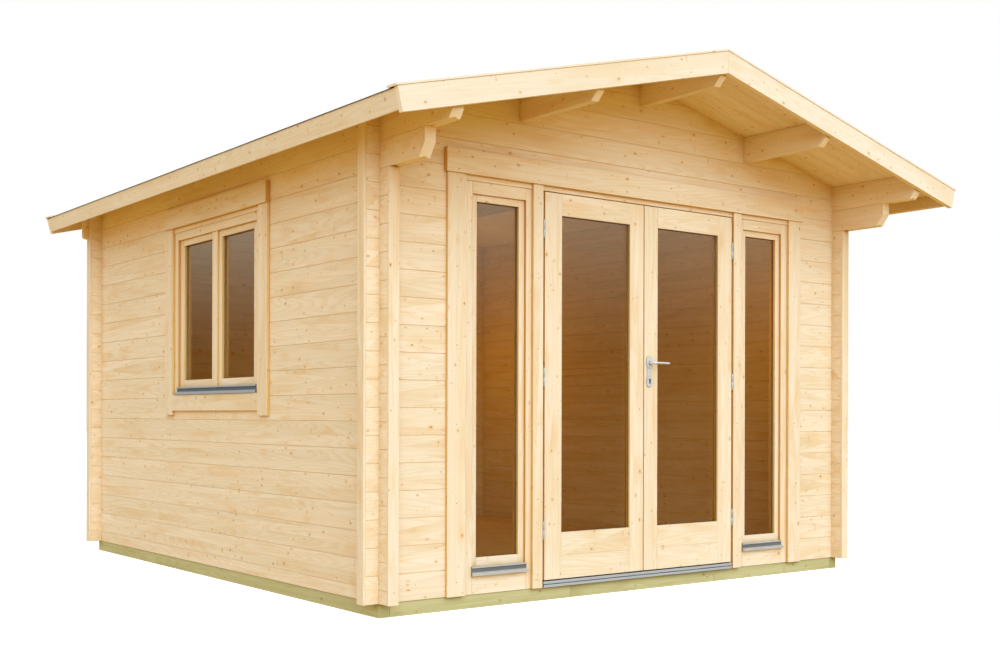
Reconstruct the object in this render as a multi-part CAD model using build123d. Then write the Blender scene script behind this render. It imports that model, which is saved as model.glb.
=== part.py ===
from build123d import *
import math
import os

# Garden chalet of interlocking logs with a glazed double door between two sidelights.
# Millimetres. X runs right along the front, Y runs to the back, Z is up.
# The origin is at ground level under the middle of the roof.

# Fits
seat_gap = 0.2  # left on each side of a joint between two seated pieces
overrun = 50.0  # how far a cutting solid passes the piece that it cuts

# Logs and walls
log_height = 130.0
wall_thickness = 58.0
wall_width = 3340.0  # over the outer faces, along X
wall_depth = 3680.0  # over the outer faces, along Y
corner_tail = 83.0  # how far the crossed log ends stand out past the corner, with their cover strip
tail_cover_thickness = 12.0
joint_chamfer = 2.5  # the V along each log joint
ridge_height = 8.0  # the ridge along a log's top, which seats in the hollow under the next log
notch_depth_share = 0.5  # of the log height, cut out of the underside at each crossing
plate_height = 146.0  # the top log of a side wall, which carries the roof

# Foundation and floor
beam_height = 67.0
beam_width = 60.0
beam_inset = 5.0  # behind the wall's outer face
end_beam_joint_share = 0.344  # of an end beam's length, where its two lengths meet
joist_count = 5
joist_width = 45.0
floor_thickness = 19.0
floor_edge_gap = 8.0

# Roof
roof_pitch = 13.9  # degrees
front_overhang = 621.0  # wall face to the front of the barge boards
back_overhang = 182.0
eave_overhang = 277.0  # wall face to the lower edge of the roof boards
deck_thickness = 18.0
felt_thickness = 4.0
felt_drip = 6.0  # how far the felt passes the eave fascia
barge_thickness = 28.0
barge_depth = 109.0  # down from the top of the felt
barge_cap_width = 72.0
barge_cap_thickness = 10.0
barge_cap_proud = 3.0  # how far the cap passes the barge board
fascia_thickness = 18.0
fascia_depth = 91.0

# Purlins and corbels
purlin_width = 44.0
purlin_height = 143.0
purlin_setback = 8.0  # from the back of the barge board to the purlin's nose
purlin_nose_length = 43.0
purlin_nose_height = 42.0
plate_nose_length = 27.0
plate_nose_height = 36.0
middle_purlin_share = 0.495  # of the way from the ridge to the wall's outer face
corbel_reach = 374.0  # in front of the wall face
corbel_nose_length = 46.0
corbel_nose_height = 66.0

# Frame round the door and sidelights
front_frame_depth = 66.0
frame_edge_gap = 2.0  # between a frame and the logs round it
post_width = 66.0
frame_head_thickness = 50.0  # at least this, up to the next log joint
frame_head_proud = 6.0
stop_width = 16.0  # how far a door stop covers the leaf
stop_thickness = 20.0

# Threshold
threshold_height = 31.0
threshold_nose = 18.0  # in front of the wall face
threshold_nose_height = 13.0
threshold_groove_height = 4.0
threshold_groove_depth = 9.0
threshold_lip_setback = 3.0  # upper lip behind the nose
threshold_stop_height = 18.0
threshold_stop_thickness = 16.0

# Door leaves
leaf_width = 689.0
leaf_height = 1975.5
leaf_thickness = 42.0
leaf_proud = 14.0  # leaf's outer face in front of the wall face
leaf_meeting_gap = 6.0
leaf_edge_gap = 6.0
leaf_head_gap = 6.0
leaf_sill_gap = 6.5
stop_gap = 6.0
hinge_stile_width = 112.0
meeting_stile_width = 100.0
leaf_top_rail = 112.0
leaf_bottom_board = 119.0
leaf_glass_thickness = 14.0
glass_bite = 9.0  # how deep a pane is housed
glass_fit = 0.3

# Hinges
hinge_height_shares = [0.128, 0.522, 0.904]  # of the leaf height, up from its lower edge
hinge_radius = 6.0
hinge_pin_radius = 3.4
hinge_pin_clearance = 0.3
hinge_half_height = 47.0
hinge_pin_length = 40.0
hinge_pin_end_gap = 1.0
hinge_flap_thickness = 2.0
hinge_flap_length = 38.0
hinge_half_gap = 0.4

# Lever handle on the right leaf
handle_plate_width = 42.0
handle_plate_height = 166.0
handle_plate_thickness = 8.0
handle_plate_corner = 13.0  # cut off each corner
handle_plate_from_edge = 36.0  # leaf's meeting edge to the middle of the plate
lever_height = 1228.0  # above the ground
lever_above_plate_middle = 46.0
lever_neck_radius = 8.0
lever_neck_clearance = 0.4
lever_neck_length = 52.0  # from the leaf's face
lever_grip_length = 130.0
lever_grip_height = 15.0
lever_grip_thickness = 13.0
lever_grip_chamfer = 4.0
lever_return_depth = 16.0  # the turned-in end of the grip
lever_return_length = 16.0
spindle_width = 8.0
spindle_hole_radius = 11.0

# Casing on the front
casing_width = 108.0
casing_thickness = 18.0
casing_lap = 68.0  # past the edge of the opening
mullion_cover_setback = 8.0  # from the post's face
mullion_cover_width = 64.0
head_board_proud = 12.0  # past the casing at each end
head_board_reveal = 26.0  # frame head left showing below the board
head_board_height = 118.0
head_board_thickness = 28.0

# Sidelights
sidelight_inner_stile = 40.0
sidelight_width = 333.0  # of the opening in its frame
sidelight_outer_stile = 89.0
sidelight_sill = 91.0
sidelight_head = 60.0
sidelight_sash_width = 35.0
sidelight_sash_bottom = 86.0
sash_recess = 15.0  # sash face behind the frame face
sash_depth = 40.0
sash_gap = 0.6  # both sides together
pane_thickness = 8.0

# Window in the left wall
window_middle = 1783.0  # behind the front wall's outer face
window_frame_half = 600.0
window_head_rise = 12.0  # top of the frame above the underside of the door frame's head
window_frame_height = 1085.0
window_stile = 74.0
window_head = 101.0
window_sill = 70.0
window_sash_stile = 58.0
window_meeting_offset = 20.0  # of the line where the sashes meet, towards the front
window_near_meeting_stile = 41.0
window_far_meeting_stile = 69.0
window_far_meeting_proud = 10.0  # in front of the other sash members
window_sash_rail = 37.0
window_sash_bottom_rail = 65.0
window_casing_lap = 26.0  # onto the frame
window_casing_width = 108.0
window_casing_drop = 76.0  # below the frame
window_bottom_board_drop = 49.0
window_bottom_board_height = 96.0
window_head_board_proud = 2.0
window_head_board_lap = 27.0
window_head_strip_height = 26.5  # the strip of the frame's head below the head board

# Drip rails under the sashes
drip_height = 45.0
drip_reach = 24.0
drip_nose_height = 14.0
drip_web = 3.0  # thickness of the upright web behind the channel
drip_channel_low = 19.0
drip_channel_high = 37.0
drip_lip_reach = 10.0
drip_lap = 5.0  # how far a rail passes the frame opening at each end

# Worked-out levels and places
y_front = -(front_overhang + wall_depth + back_overhang) / 2 + front_overhang
y_back = y_front + wall_depth
half_width = wall_width / 2
wall_base = beam_height
sin_pitch = math.sin(math.radians(roof_pitch))
cos_pitch = math.cos(math.radians(roof_pitch))
tan_pitch = math.tan(math.radians(roof_pitch))
half_log = log_height / 2
notch_depth = log_height * notch_depth_share
threshold_top = wall_base + threshold_height
leaf_bottom = threshold_top + leaf_sill_gap
leaf_top = leaf_bottom + leaf_height
frame_head_bottom = leaf_top + leaf_head_gap
end_courses_beside_door = math.ceil((frame_head_bottom + frame_head_thickness - wall_base) / log_height)
side_courses = end_courses_beside_door + 1  # whole logs above the half log that starts a side wall
eave_log_base = wall_base + half_log + (side_courses - 1) * log_height
plate_top = eave_log_base + plate_height
ridge_under = plate_top + (half_width - wall_thickness) * tan_pitch
eave_x = half_width + eave_overhang
barge_end_x = eave_x + fascia_thickness * cos_pitch
y_deck_front = y_front - front_overhang + barge_thickness
y_deck_back = y_back + back_overhang - barge_thickness
purlin_front = y_deck_front + purlin_setback
purlin_back = y_deck_back - purlin_setback
gable_base = wall_base + end_courses_beside_door * log_height
corbel_base = eave_log_base - log_height
tail_reach = corner_tail - tail_cover_thickness - seat_gap
middle_purlin_x = half_width * middle_purlin_share
leaf_face = y_front - leaf_proud
leaf_back = leaf_face + leaf_thickness
leaf_edge_x = leaf_meeting_gap / 2 + leaf_width
post_face_x = leaf_edge_x + leaf_edge_gap
hinge_x = post_face_x
sidelight_inner_edge = post_face_x + post_width + sidelight_inner_stile
sidelight_outer_edge = sidelight_inner_edge + sidelight_width
sidelight_opening_bottom = wall_base + sidelight_sill
sidelight_opening_top = frame_head_bottom - sidelight_head
front_opening_half = sidelight_outer_edge + sidelight_outer_stile + frame_edge_gap
head_board_bottom = frame_head_bottom + head_board_reveal
window_y = y_front + window_middle
window_frame_top = frame_head_bottom + window_head_rise
window_frame_bottom = window_frame_top - window_frame_height
handle_x = leaf_meeting_gap / 2 + handle_plate_from_edge


def block(x_range, y_range, z_range):
    """A box between two values on each axis."""
    ranges = [x_range, y_range, z_range]
    middle = [(low + high) / 2 for low, high in ranges]
    size = [high - low for low, high in ranges]
    return Pos(*middle) * Box(*size)


def prism_along_x(points, x_low, x_high):
    """A solid with an outline of (y, z) points."""
    outline = Polyline([(x_low, y, z) for y, z in points], close=True)
    return extrude(make_face(outline), amount=x_high - x_low, dir=(1, 0, 0))


def prism_along_y(points, y_low, y_high):
    """A solid with an outline of (x, z) points."""
    outline = Polyline([(x, y_low, z) for x, z in points], close=True)
    return extrude(make_face(outline), amount=y_high - y_low, dir=(0, 1, 0))


def mirrored(shape):
    """The same shape on the other side of the middle of the front."""
    return mirror(shape, about=Plane.YZ)


def both_sides(shape):
    return [shape, mirrored(shape)]


def write(name, shapes):
    """Writes one node from its separate solids."""
    solids = []
    for shape in shapes:
        solids.extend(shape.solids())
    node = Compound(children=solids) if len(solids) > 1 else solids[0]
    export_step(node, f"parts/{name}.step")


def roof_under(x):
    """Height of the underside of the roof boards."""
    return ridge_under - abs(x) * tan_pitch


def slope_point(x, rise):
    """A point of the right slope: x along its underside, then rise at a right angle to it."""
    return (x + rise * sin_pitch, roof_under(x) + rise * cos_pitch)


def slope_layer(low, high, x_end):
    """Outline of a layer from the ridge's upright joint to a square cut at the eave."""
    return [
        (seat_gap, roof_under(seat_gap) + low / cos_pitch),
        slope_point(x_end, low),
        slope_point(x_end, high),
        (seat_gap, roof_under(seat_gap) + high / cos_pitch),
    ]


# Logs


def log_outline(low, high):
    """Log section as (depth from the outer face, height), with V edges, a hollow below and a ridge on top."""
    z_low = low + seat_gap
    z_high = high - seat_gap
    middle = wall_thickness / 2
    return [
        (0, z_low + joint_chamfer),
        (joint_chamfer, z_low),
        (middle, z_low + ridge_height),
        (wall_thickness - joint_chamfer, z_low),
        (wall_thickness, z_low + joint_chamfer),
        (wall_thickness, z_high - joint_chamfer),
        (wall_thickness - joint_chamfer, z_high),
        (middle, z_high + ridge_height),
        (joint_chamfer, z_high),
        (0, z_high - joint_chamfer),
    ]


def notch_range(low):
    """Height range of the saddle notch under a log, where it sits on the log that it crosses."""
    return (low - overrun, low + notch_depth + seat_gap)


def ridge_range(top):
    """Height range of the ridge on a log, which stops short at a crossing."""
    return (top - seat_gap, top + overrun)


def end_log(low, x_low, x_high, y_outer, inward):
    """A log of the front or back wall, notched where it crosses a side wall."""
    notch = notch_range(low)
    if eave_log_base < low < plate_top:
        notch = (low - overrun, plate_top + overrun)
    points = [(y_outer + inward * depth, z) for depth, z in log_outline(low, low + log_height)]
    log = prism_along_x(points, x_low, x_high)
    y_cut = sorted((y_outer - inward * overrun, y_outer + inward * (wall_thickness + overrun)))
    for side in (-1, 1):
        x_cut = sorted((side * (half_width - wall_thickness - seat_gap), side * (half_width + seat_gap)))
        if x_cut[0] > x_low and x_cut[1] < x_high:
            log = log - block(x_cut, y_cut, notch)
            log = log - block(x_cut, y_cut, ridge_range(low + log_height))
    return log


def side_log(low, y_low, y_high, from_half=False, height=log_height):
    """A log of the left wall, notched where it crosses the front and back walls."""
    start = low + half_log if from_half else low
    points = [(depth - half_width, z) for depth, z in log_outline(start, low + height)]
    log = prism_along_y(points, y_low, y_high)
    x_cut = (-half_width - overrun, -half_width + wall_thickness + overrun)
    for wall_low, wall_high in ((y_front, y_front + wall_thickness), (y_back - wall_thickness, y_back)):
        y_cut = (wall_low - seat_gap, wall_high + seat_gap)
        log = log - block(x_cut, y_cut, notch_range(low))
        log = log - block(x_cut, y_cut, ridge_range(low + height))
    return log


def nose_cut(x_low, x_high, y_tip, inward, z_bottom, length, height):
    """The wedge taken off the lower corner of a projecting log or purlin."""
    points = [
        (y_tip, z_bottom + height),
        (y_tip + inward * length, z_bottom),
        (y_tip + inward * length, z_bottom - overrun),
        (y_tip - inward * overrun, z_bottom - overrun),
        (y_tip - inward * overrun, z_bottom + height),
    ]
    return prism_along_x(points, x_low - overrun, x_high + overrun)


def under_roof():
    """Everything below the roof boards, for cutting the gable logs and the wall plates."""
    x_reach = half_width + corner_tail + overrun
    points = [
        (-x_reach, 0),
        (x_reach, 0),
        (x_reach, roof_under(x_reach) - seat_gap),
        (0, ridge_under - seat_gap),
        (-x_reach, roof_under(x_reach) - seat_gap),
    ]
    return prism_along_y(points, y_deck_front, y_deck_back)


def corbel_log():
    """The short bracket log below the wall plate, with a cut nose at the front."""
    y_tip = y_front - corbel_reach
    log = side_log(corbel_base, y_tip, y_back + tail_reach)
    x_inner = -half_width + wall_thickness
    return log - nose_cut(-half_width, x_inner, y_tip, 1, corbel_base, corbel_nose_length, corbel_nose_height)


def wall_plate(roof_cut):
    """The top log of a side wall, which runs out at both ends as the eave purlin."""
    log = side_log(eave_log_base, purlin_front, purlin_back, height=plate_height) & roof_cut
    x_inner = -half_width + wall_thickness
    for y_tip, inward in ((purlin_front, 1), (purlin_back, -1)):
        log = log - nose_cut(
            -half_width, x_inner, y_tip, inward, eave_log_base, plate_nose_length, plate_nose_height)
    return log


def left_wall_logs(roof_cut):
    """All logs of a side wall, whole from end to end."""
    y_low = y_front - tail_reach
    y_high = y_back + tail_reach
    logs = [side_log(wall_base - half_log, y_low, y_high, from_half=True)]
    for course in range(side_courses - 2):
        logs.append(side_log(wall_base + half_log + course * log_height, y_low, y_high))
    logs.append(corbel_log())
    logs.append(wall_plate(roof_cut))
    return logs


def make_side_walls(roof_cut):
    opening = block(
        (-half_width - overrun, -half_width + wall_thickness + overrun),
        (window_y - window_frame_half - frame_edge_gap, window_y + window_frame_half + frame_edge_gap),
        (window_frame_bottom - frame_edge_gap, window_frame_top + frame_edge_gap),
    )
    logs = left_wall_logs(roof_cut)
    write("left_wall", [log - opening for log in logs])
    write("right_wall", [mirrored(log) for log in logs])


def gable_logs(y_outer, inward, roof_cut, purlin_cuts):
    """The logs above the wall plate level, cut to the roof and notched round the purlins."""
    logs = []
    low = gable_base
    x_tip = half_width + tail_reach
    while low < ridge_under - notch_depth:
        log = end_log(low, -x_tip, x_tip, y_outer, inward) & roof_cut
        for cut in purlin_cuts:
            log = log - cut
        logs.append(log)
        low = low + log_height
    return logs


def make_end_walls(roof_cut, purlin_cuts):
    x_tip = half_width + tail_reach
    levels = [wall_base + course * log_height for course in range(end_courses_beside_door)]
    beside = [end_log(low, -x_tip, -front_opening_half, y_front, 1) for low in levels]
    write("front_wall_left", beside)
    write("front_wall_right", [mirrored(log) for log in beside])
    write("front_gable", gable_logs(y_front, 1, roof_cut, purlin_cuts))
    lower = [end_log(low, -x_tip, x_tip, y_back, -1) for low in levels]
    write("back_wall", lower + gable_logs(y_back, -1, roof_cut, purlin_cuts))


def make_tail_covers():
    """Upright strips nailed over the log ends at each corner."""
    x_ends = (-half_width, -half_width + wall_thickness)
    front_tip = y_front - corner_tail
    back_tip = y_back + corner_tail
    side_tips = [
        block(x_ends, (front_tip, front_tip + tail_cover_thickness), (wall_base, corbel_base - seat_gap)),
        block(x_ends, (back_tip - tail_cover_thickness, back_tip), (wall_base, eave_log_base - seat_gap)),
    ]
    write("side_wall_end_strips", side_tips + [mirrored(strip) for strip in side_tips])
    x_tip = -half_width - corner_tail
    points = [
        (x_tip, wall_base),
        (x_tip + tail_cover_thickness, wall_base),
        (x_tip + tail_cover_thickness, roof_under(x_tip + tail_cover_thickness) - seat_gap),
        (x_tip, roof_under(x_tip) - seat_gap),
    ]
    end_tips = [
        prism_along_y(points, y_front, y_front + wall_thickness),
        prism_along_y(points, y_back - wall_thickness, y_back),
    ]
    write("end_wall_end_strips", end_tips + [mirrored(strip) for strip in end_tips])


# Foundation and floor


def make_base():
    x_outer = half_width - beam_inset
    x_inner = x_outer - beam_width
    y_low = y_front + beam_inset
    y_high = y_back - beam_inset
    beam_top = beam_height - seat_gap
    side_beam = block((-x_outer, -x_inner), (y_low, y_high), (0, beam_top))
    write("foundation_side_beams", both_sides(side_beam))
    x_between = (-x_inner + seat_gap, x_inner - seat_gap)
    joint_x = x_between[0] + (x_between[1] - x_between[0]) * end_beam_joint_share
    lengths = [(x_between[0], joint_x - seat_gap), (joint_x + seat_gap, x_between[1])]
    end_beams = [block(x_range, (y_low, y_low + beam_width), (0, beam_top)) for x_range in lengths]
    end_beams += [block(x_range, (y_high - beam_width, y_high), (0, beam_top)) for x_range in lengths]
    write("foundation_end_beams", end_beams)
    spacing = (y_high - y_low - beam_width) / (joist_count + 1)
    joists = []
    for index in range(joist_count):
        y_middle = y_low + beam_width / 2 + spacing * (index + 1)
        joists.append(block(x_between, (y_middle - joist_width / 2, y_middle + joist_width / 2), (0, beam_top)))
    write("floor_joists", joists)
    inset = wall_thickness + floor_edge_gap
    floor_x = half_width - inset
    front_inset = front_frame_depth + floor_edge_gap
    floor = block(
        (-floor_x, floor_x), (y_front + front_inset, y_back - inset), (beam_height, beam_height + floor_thickness))
    write("floor", [floor])


# Roof


def purlin_outline(x_middle, margin):
    """Purlin section whose top follows the roof, or the ridge where it lies under it."""
    x_low = x_middle - purlin_width / 2 - margin
    x_high = x_middle + purlin_width / 2 + margin
    top_inner = min(abs(x_low), abs(x_high)) if x_low * x_high > 0 else 0
    bottom = roof_under(top_inner) - purlin_height - margin
    points = [(x_low, bottom), (x_high, bottom), (x_high, roof_under(x_high) - seat_gap + margin)]
    if x_low * x_high < 0:
        points.append((x_middle, ridge_under - seat_gap + margin))
    points.append((x_low, roof_under(x_low) - seat_gap + margin))
    return points


def make_purlins():
    """Ridge and middle purlins, with cut noses at both ends. Returns the notches that they need."""
    places = [-middle_purlin_x, 0, middle_purlin_x]
    purlins = []
    for x_middle in places:
        outline = purlin_outline(x_middle, 0)
        bottom = outline[0][1]
        purlin = prism_along_y(outline, purlin_front, purlin_back)
        for y_tip, inward in ((purlin_front, 1), (purlin_back, -1)):
            purlin = purlin - nose_cut(
                outline[0][0], outline[1][0], y_tip, inward, bottom, purlin_nose_length, purlin_nose_height)
        purlins.append(purlin)
    write("ridge_purlin", [purlins[1]])
    write("middle_purlins", [purlins[0], purlins[2]])
    return [prism_along_y(purlin_outline(x, seat_gap), purlin_front, purlin_back) for x in places]


def make_roof():
    deck = prism_along_y(slope_layer(0, deck_thickness, eave_x), y_deck_front, y_deck_back)
    write("roof_boards_right", [deck])
    write("roof_boards_left", [mirrored(deck)])
    felt_low = deck_thickness + seat_gap
    felt_high = deck_thickness + felt_thickness
    felt_end = barge_end_x + felt_drip * cos_pitch
    felt = prism_along_y(slope_layer(felt_low, felt_high, felt_end), y_deck_front, y_deck_back)
    write("roofing_felt_right", [felt])
    write("roofing_felt_left", [mirrored(felt)])
    fascia_x = eave_x + seat_gap
    fascia_points = [
        slope_point(fascia_x, deck_thickness - fascia_depth),
        slope_point(barge_end_x, deck_thickness - fascia_depth),
        slope_point(barge_end_x, deck_thickness),
        slope_point(fascia_x, deck_thickness),
    ]
    fascia = prism_along_y(fascia_points, y_deck_front + seat_gap, y_deck_back - seat_gap)
    write("eave_fascias", both_sides(fascia))
    y_barge_front = y_deck_front - barge_thickness
    y_barge_back = y_deck_back + barge_thickness
    barge_outline = slope_layer(felt_high - barge_depth, felt_high, barge_end_x)
    front_barge = prism_along_y(barge_outline, y_barge_front, y_deck_front - seat_gap)
    back_barge = prism_along_y(barge_outline, y_deck_back + seat_gap, y_barge_back)
    write("barge_boards", both_sides(front_barge) + both_sides(back_barge))
    cap_low = felt_high + seat_gap
    cap_end = felt_end + barge_cap_proud * cos_pitch
    cap_outline = slope_layer(cap_low, cap_low + barge_cap_thickness, cap_end)
    y_cap_front = y_barge_front - barge_cap_proud
    y_cap_back = y_barge_back + barge_cap_proud
    front_cap = prism_along_y(cap_outline, y_cap_front, y_cap_front + barge_cap_width)
    back_cap = prism_along_y(cap_outline, y_cap_back - barge_cap_width, y_cap_back)
    write("barge_caps", both_sides(front_cap) + both_sides(back_cap))


# Frames, sashes and panes


def frame_ranges(low, high, bottom, top, low_stile, high_stile, bottom_rail, top_rail):
    """Stiles, then bottom and top rails between them, as (along, height) ranges."""
    between = (low + low_stile + seat_gap, high - high_stile - seat_gap)
    return [
        ((low, low + low_stile), (bottom, top)),
        ((high - high_stile, high), (bottom, top)),
        (between, (bottom, bottom + bottom_rail)),
        (between, (top - top_rail, top)),
    ]


def pane_ranges(members):
    """The pane that is housed in a frame's members."""
    low = members[0][0][1] - glass_bite
    high = members[1][0][0] + glass_bite
    bottom = members[2][1][1] - glass_bite
    top = members[3][1][0] + glass_bite
    return (low, high), (bottom, top)


def grown(value_range, margin):
    return (value_range[0] - margin, value_range[1] + margin)


def glazed_front(members, y_range, thickness):
    """Frame members on the front with a housed pane: the members' solids and the pane."""
    y_middle = (y_range[0] + y_range[1]) / 2
    pane_y = (y_middle - thickness / 2, y_middle + thickness / 2)
    pane_x, pane_z = pane_ranges(members)
    housing = block(grown(pane_x, glass_fit), grown(pane_y, glass_fit), grown(pane_z, glass_fit))
    solids = [block(x, y_range, z) - housing for x, z in members]
    return solids, block(pane_x, pane_y, pane_z)


def glazed_side(members, x_range, thickness):
    """The same in the left wall."""
    x_middle = (x_range[0] + x_range[1]) / 2
    pane_x = (x_middle - thickness / 2, x_middle + thickness / 2)
    pane_y, pane_z = pane_ranges(members)
    housing = block(grown(pane_x, glass_fit), grown(pane_y, glass_fit), grown(pane_z, glass_fit))
    solids = [block(x_range, y, z) - housing for y, z in members]
    return solids, block(pane_x, pane_y, pane_z)


def drip_outline(face, outward, bottom):
    """Section of a drip rail as (out, height): an upper lip, a channel and a nose that sheds the water."""
    tip = face + outward * drip_reach
    web = face + outward * drip_web
    lip = face + outward * drip_lip_reach
    return [
        (face, bottom),
        (tip, bottom),
        (tip, bottom + drip_nose_height),
        (web, bottom + drip_channel_low),
        (web, bottom + drip_channel_high),
        (lip, bottom + drip_channel_high),
        (lip, bottom + drip_height),
        (face, bottom + drip_height),
    ]


def make_front_frame():
    """Posts beside the door, the head over everything, door stops and the threshold."""
    frame_y = (y_front, y_front + front_frame_depth)
    head_low = frame_head_bottom
    post = block((post_face_x, post_face_x + post_width), frame_y, (wall_base, head_low - seat_gap))
    write("door_posts", both_sides(post))
    head_half = front_opening_half - frame_edge_gap
    head = block(
        (-head_half, head_half),
        (y_front - frame_head_proud, frame_y[1]),
        (head_low, gable_base - frame_edge_gap),
    )
    write("frame_head", [head])
    stop_y = (leaf_back + stop_gap, leaf_back + stop_gap + stop_thickness)
    stop_edge = leaf_edge_x - stop_width
    stop_low = threshold_top + seat_gap
    side_stop = block((stop_edge, post_face_x - seat_gap), stop_y, (stop_low, head_low - seat_gap))
    top_edge = stop_edge - seat_gap
    top_stop = block((-top_edge, top_edge), stop_y, (leaf_top - stop_width, head_low - seat_gap))
    write("door_stops", both_sides(side_stop) + [top_stop])
    sill_half = post_face_x - seat_gap
    groove_low = wall_base + threshold_nose_height
    groove_y = y_front - threshold_nose + threshold_groove_depth
    lip_y = y_front - threshold_nose + threshold_lip_setback
    sill_points = [
        (y_front - threshold_nose, wall_base),
        (frame_y[1], wall_base),
        (frame_y[1], threshold_top),
        (lip_y, threshold_top),
        (lip_y, groove_low + threshold_groove_height),
        (groove_y, groove_low + threshold_groove_height),
        (groove_y, groove_low),
        (y_front - threshold_nose, groove_low),
    ]
    plate = prism_along_x(sill_points, -sill_half, sill_half)
    stop_half = stop_edge - seat_gap
    upstand_low = threshold_top + seat_gap
    upstand = block(
        (-stop_half, stop_half),
        (stop_y[0], stop_y[0] + threshold_stop_thickness),
        (upstand_low, upstand_low + threshold_stop_height),
    )
    write("threshold", [plate, upstand])


def make_front_casing():
    """Upright boards beside and between the lights, and the head board, housed over the frame head."""
    head_housing = block(
        (-front_opening_half, front_opening_half),
        (y_front - frame_head_proud - seat_gap, y_front + overrun),
        (frame_head_bottom - seat_gap, gable_base),
    )
    casing_y = (y_front - casing_thickness, y_front - seat_gap)
    board_z = (wall_base, head_board_bottom - seat_gap)
    casing_outer = front_opening_half + casing_lap
    outer_board = block((casing_outer - casing_width, casing_outer), casing_y, board_z)
    cover_inner = post_face_x + mullion_cover_setback
    cover_x = (cover_inner, cover_inner + mullion_cover_width)
    cover = block(cover_x, casing_y, board_z)
    boards = [outer_board - head_housing, cover - head_housing]
    write("front_casing_boards", boards + [mirrored(board) for board in boards])
    head_board_half = casing_outer + head_board_proud
    head_board = block(
        (-head_board_half, head_board_half),
        (y_front - head_board_thickness, y_front - seat_gap),
        (head_board_bottom, head_board_bottom + head_board_height),
    )
    write("front_head_board", [head_board - head_housing])


def make_sidelights():
    post_outer = post_face_x + post_width + seat_gap
    frame_outer = front_opening_half - frame_edge_gap
    frame = frame_ranges(
        post_outer,
        frame_outer,
        wall_base,
        frame_head_bottom - seat_gap,
        sidelight_inner_edge - post_outer,
        frame_outer - sidelight_outer_edge,
        sidelight_opening_bottom - wall_base,
        frame_head_bottom - seat_gap - sidelight_opening_top,
    )
    frame_y = (y_front, y_front + front_frame_depth)
    frame_solids = [block(x, frame_y, z) for x, z in frame]
    write("sidelight_frames", frame_solids + [mirrored(solid) for solid in frame_solids])
    sash = frame_ranges(
        sidelight_inner_edge + sash_gap / 2,
        sidelight_outer_edge - sash_gap / 2,
        sidelight_opening_bottom + sash_gap / 2,
        sidelight_opening_top - sash_gap / 2,
        sidelight_sash_width,
        sidelight_sash_width,
        sidelight_sash_bottom,
        sidelight_sash_width,
    )
    sash_y = (y_front + sash_recess, y_front + sash_recess + sash_depth)
    sash_solids, pane = glazed_front(sash, sash_y, pane_thickness)
    write("sidelight_sashes", sash_solids + [mirrored(solid) for solid in sash_solids])
    write("sidelight_glass", both_sides(pane))
    rail = prism_along_x(
        drip_outline(y_front - seat_gap, -1, sidelight_opening_bottom),
        sidelight_inner_edge - drip_lap,
        sidelight_outer_edge + drip_lap,
    )
    write("sidelight_drip_rails", both_sides(rail))


def make_window():
    """The two-sash window in the left wall, with its frame, casing and drip rail."""
    x_face = -half_width
    y_low = window_y - window_frame_half
    y_high = window_y + window_frame_half
    frame = frame_ranges(
        y_low, y_high, window_frame_bottom, window_frame_top, window_stile, window_stile, window_sill, window_head)
    frame_x = (x_face, x_face + front_frame_depth)
    write("window_frame", [block(frame_x, y, z) for y, z in frame])
    sash_x = (x_face + sash_recess, x_face + sash_recess + sash_depth)
    bottom = window_frame_bottom + window_sill + sash_gap / 2
    top = window_frame_top - window_head - sash_gap / 2
    meeting_y = window_y - window_meeting_offset
    near = frame_ranges(
        y_low + window_stile + sash_gap / 2, meeting_y - sash_gap / 2, bottom, top,
        window_sash_stile, window_near_meeting_stile, window_sash_bottom_rail, window_sash_rail)
    far = frame_ranges(
        meeting_y + sash_gap / 2, y_high - window_stile - sash_gap / 2, bottom, top,
        window_far_meeting_stile, window_sash_stile, window_sash_bottom_rail, window_sash_rail)
    near_solids, near_pane = glazed_side(near, sash_x, pane_thickness)
    far_solids, far_pane = glazed_side(far, sash_x, pane_thickness)
    far_solids[0] += block((sash_x[0] - window_far_meeting_proud, sash_x[0]), *far[0])
    write("window_sashes", near_solids + far_solids)
    write("window_glass", [near_pane, far_pane])
    rail = prism_along_y(
        drip_outline(x_face - seat_gap, -1, window_frame_bottom + window_sill - drip_height / 2),
        y_low + window_stile - drip_lap,
        y_high - window_stile + drip_lap,
    )
    write("window_drip_rail", [rail])
    casing_x = (x_face - casing_thickness, x_face - seat_gap)
    head_bottom = window_frame_top - window_head_board_lap
    casing_inner = window_frame_half - window_casing_lap
    casing_outer = casing_inner + window_casing_width
    head_half = casing_outer + window_head_board_proud
    boards = [
        block(
            (x_face - head_board_thickness, x_face - seat_gap),
            (window_y - head_half, window_y + head_half),
            (head_bottom, head_bottom + head_board_height),
        )
    ]
    casing_z = (window_frame_bottom - window_casing_drop, head_bottom - seat_gap)
    for side in (-1, 1):
        y_range = sorted((window_y + side * casing_inner, window_y + side * casing_outer))
        boards.append(block(casing_x, y_range, casing_z))
    low = window_frame_bottom - window_bottom_board_drop
    y_between = (window_y - casing_inner + seat_gap, window_y + casing_inner - seat_gap)
    boards.append(block(casing_x, y_between, (low, low + window_bottom_board_height)))
    strip_x = (x_face - frame_head_proud, x_face - seat_gap)
    strip_top = head_bottom - seat_gap
    boards.append(block(strip_x, y_between, (strip_top - window_head_strip_height, strip_top)))
    write("window_casing", boards)


# Doors


def hinge_barrel(z_low, z_high, y_axis):
    middle = (z_low + z_high) / 2
    return Pos(hinge_x, y_axis, middle) * Cylinder(hinge_radius, z_high - z_low)


def hinge_flap(x_range, z_range):
    return block(x_range, (leaf_face, leaf_face + hinge_flap_length), z_range)


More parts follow.
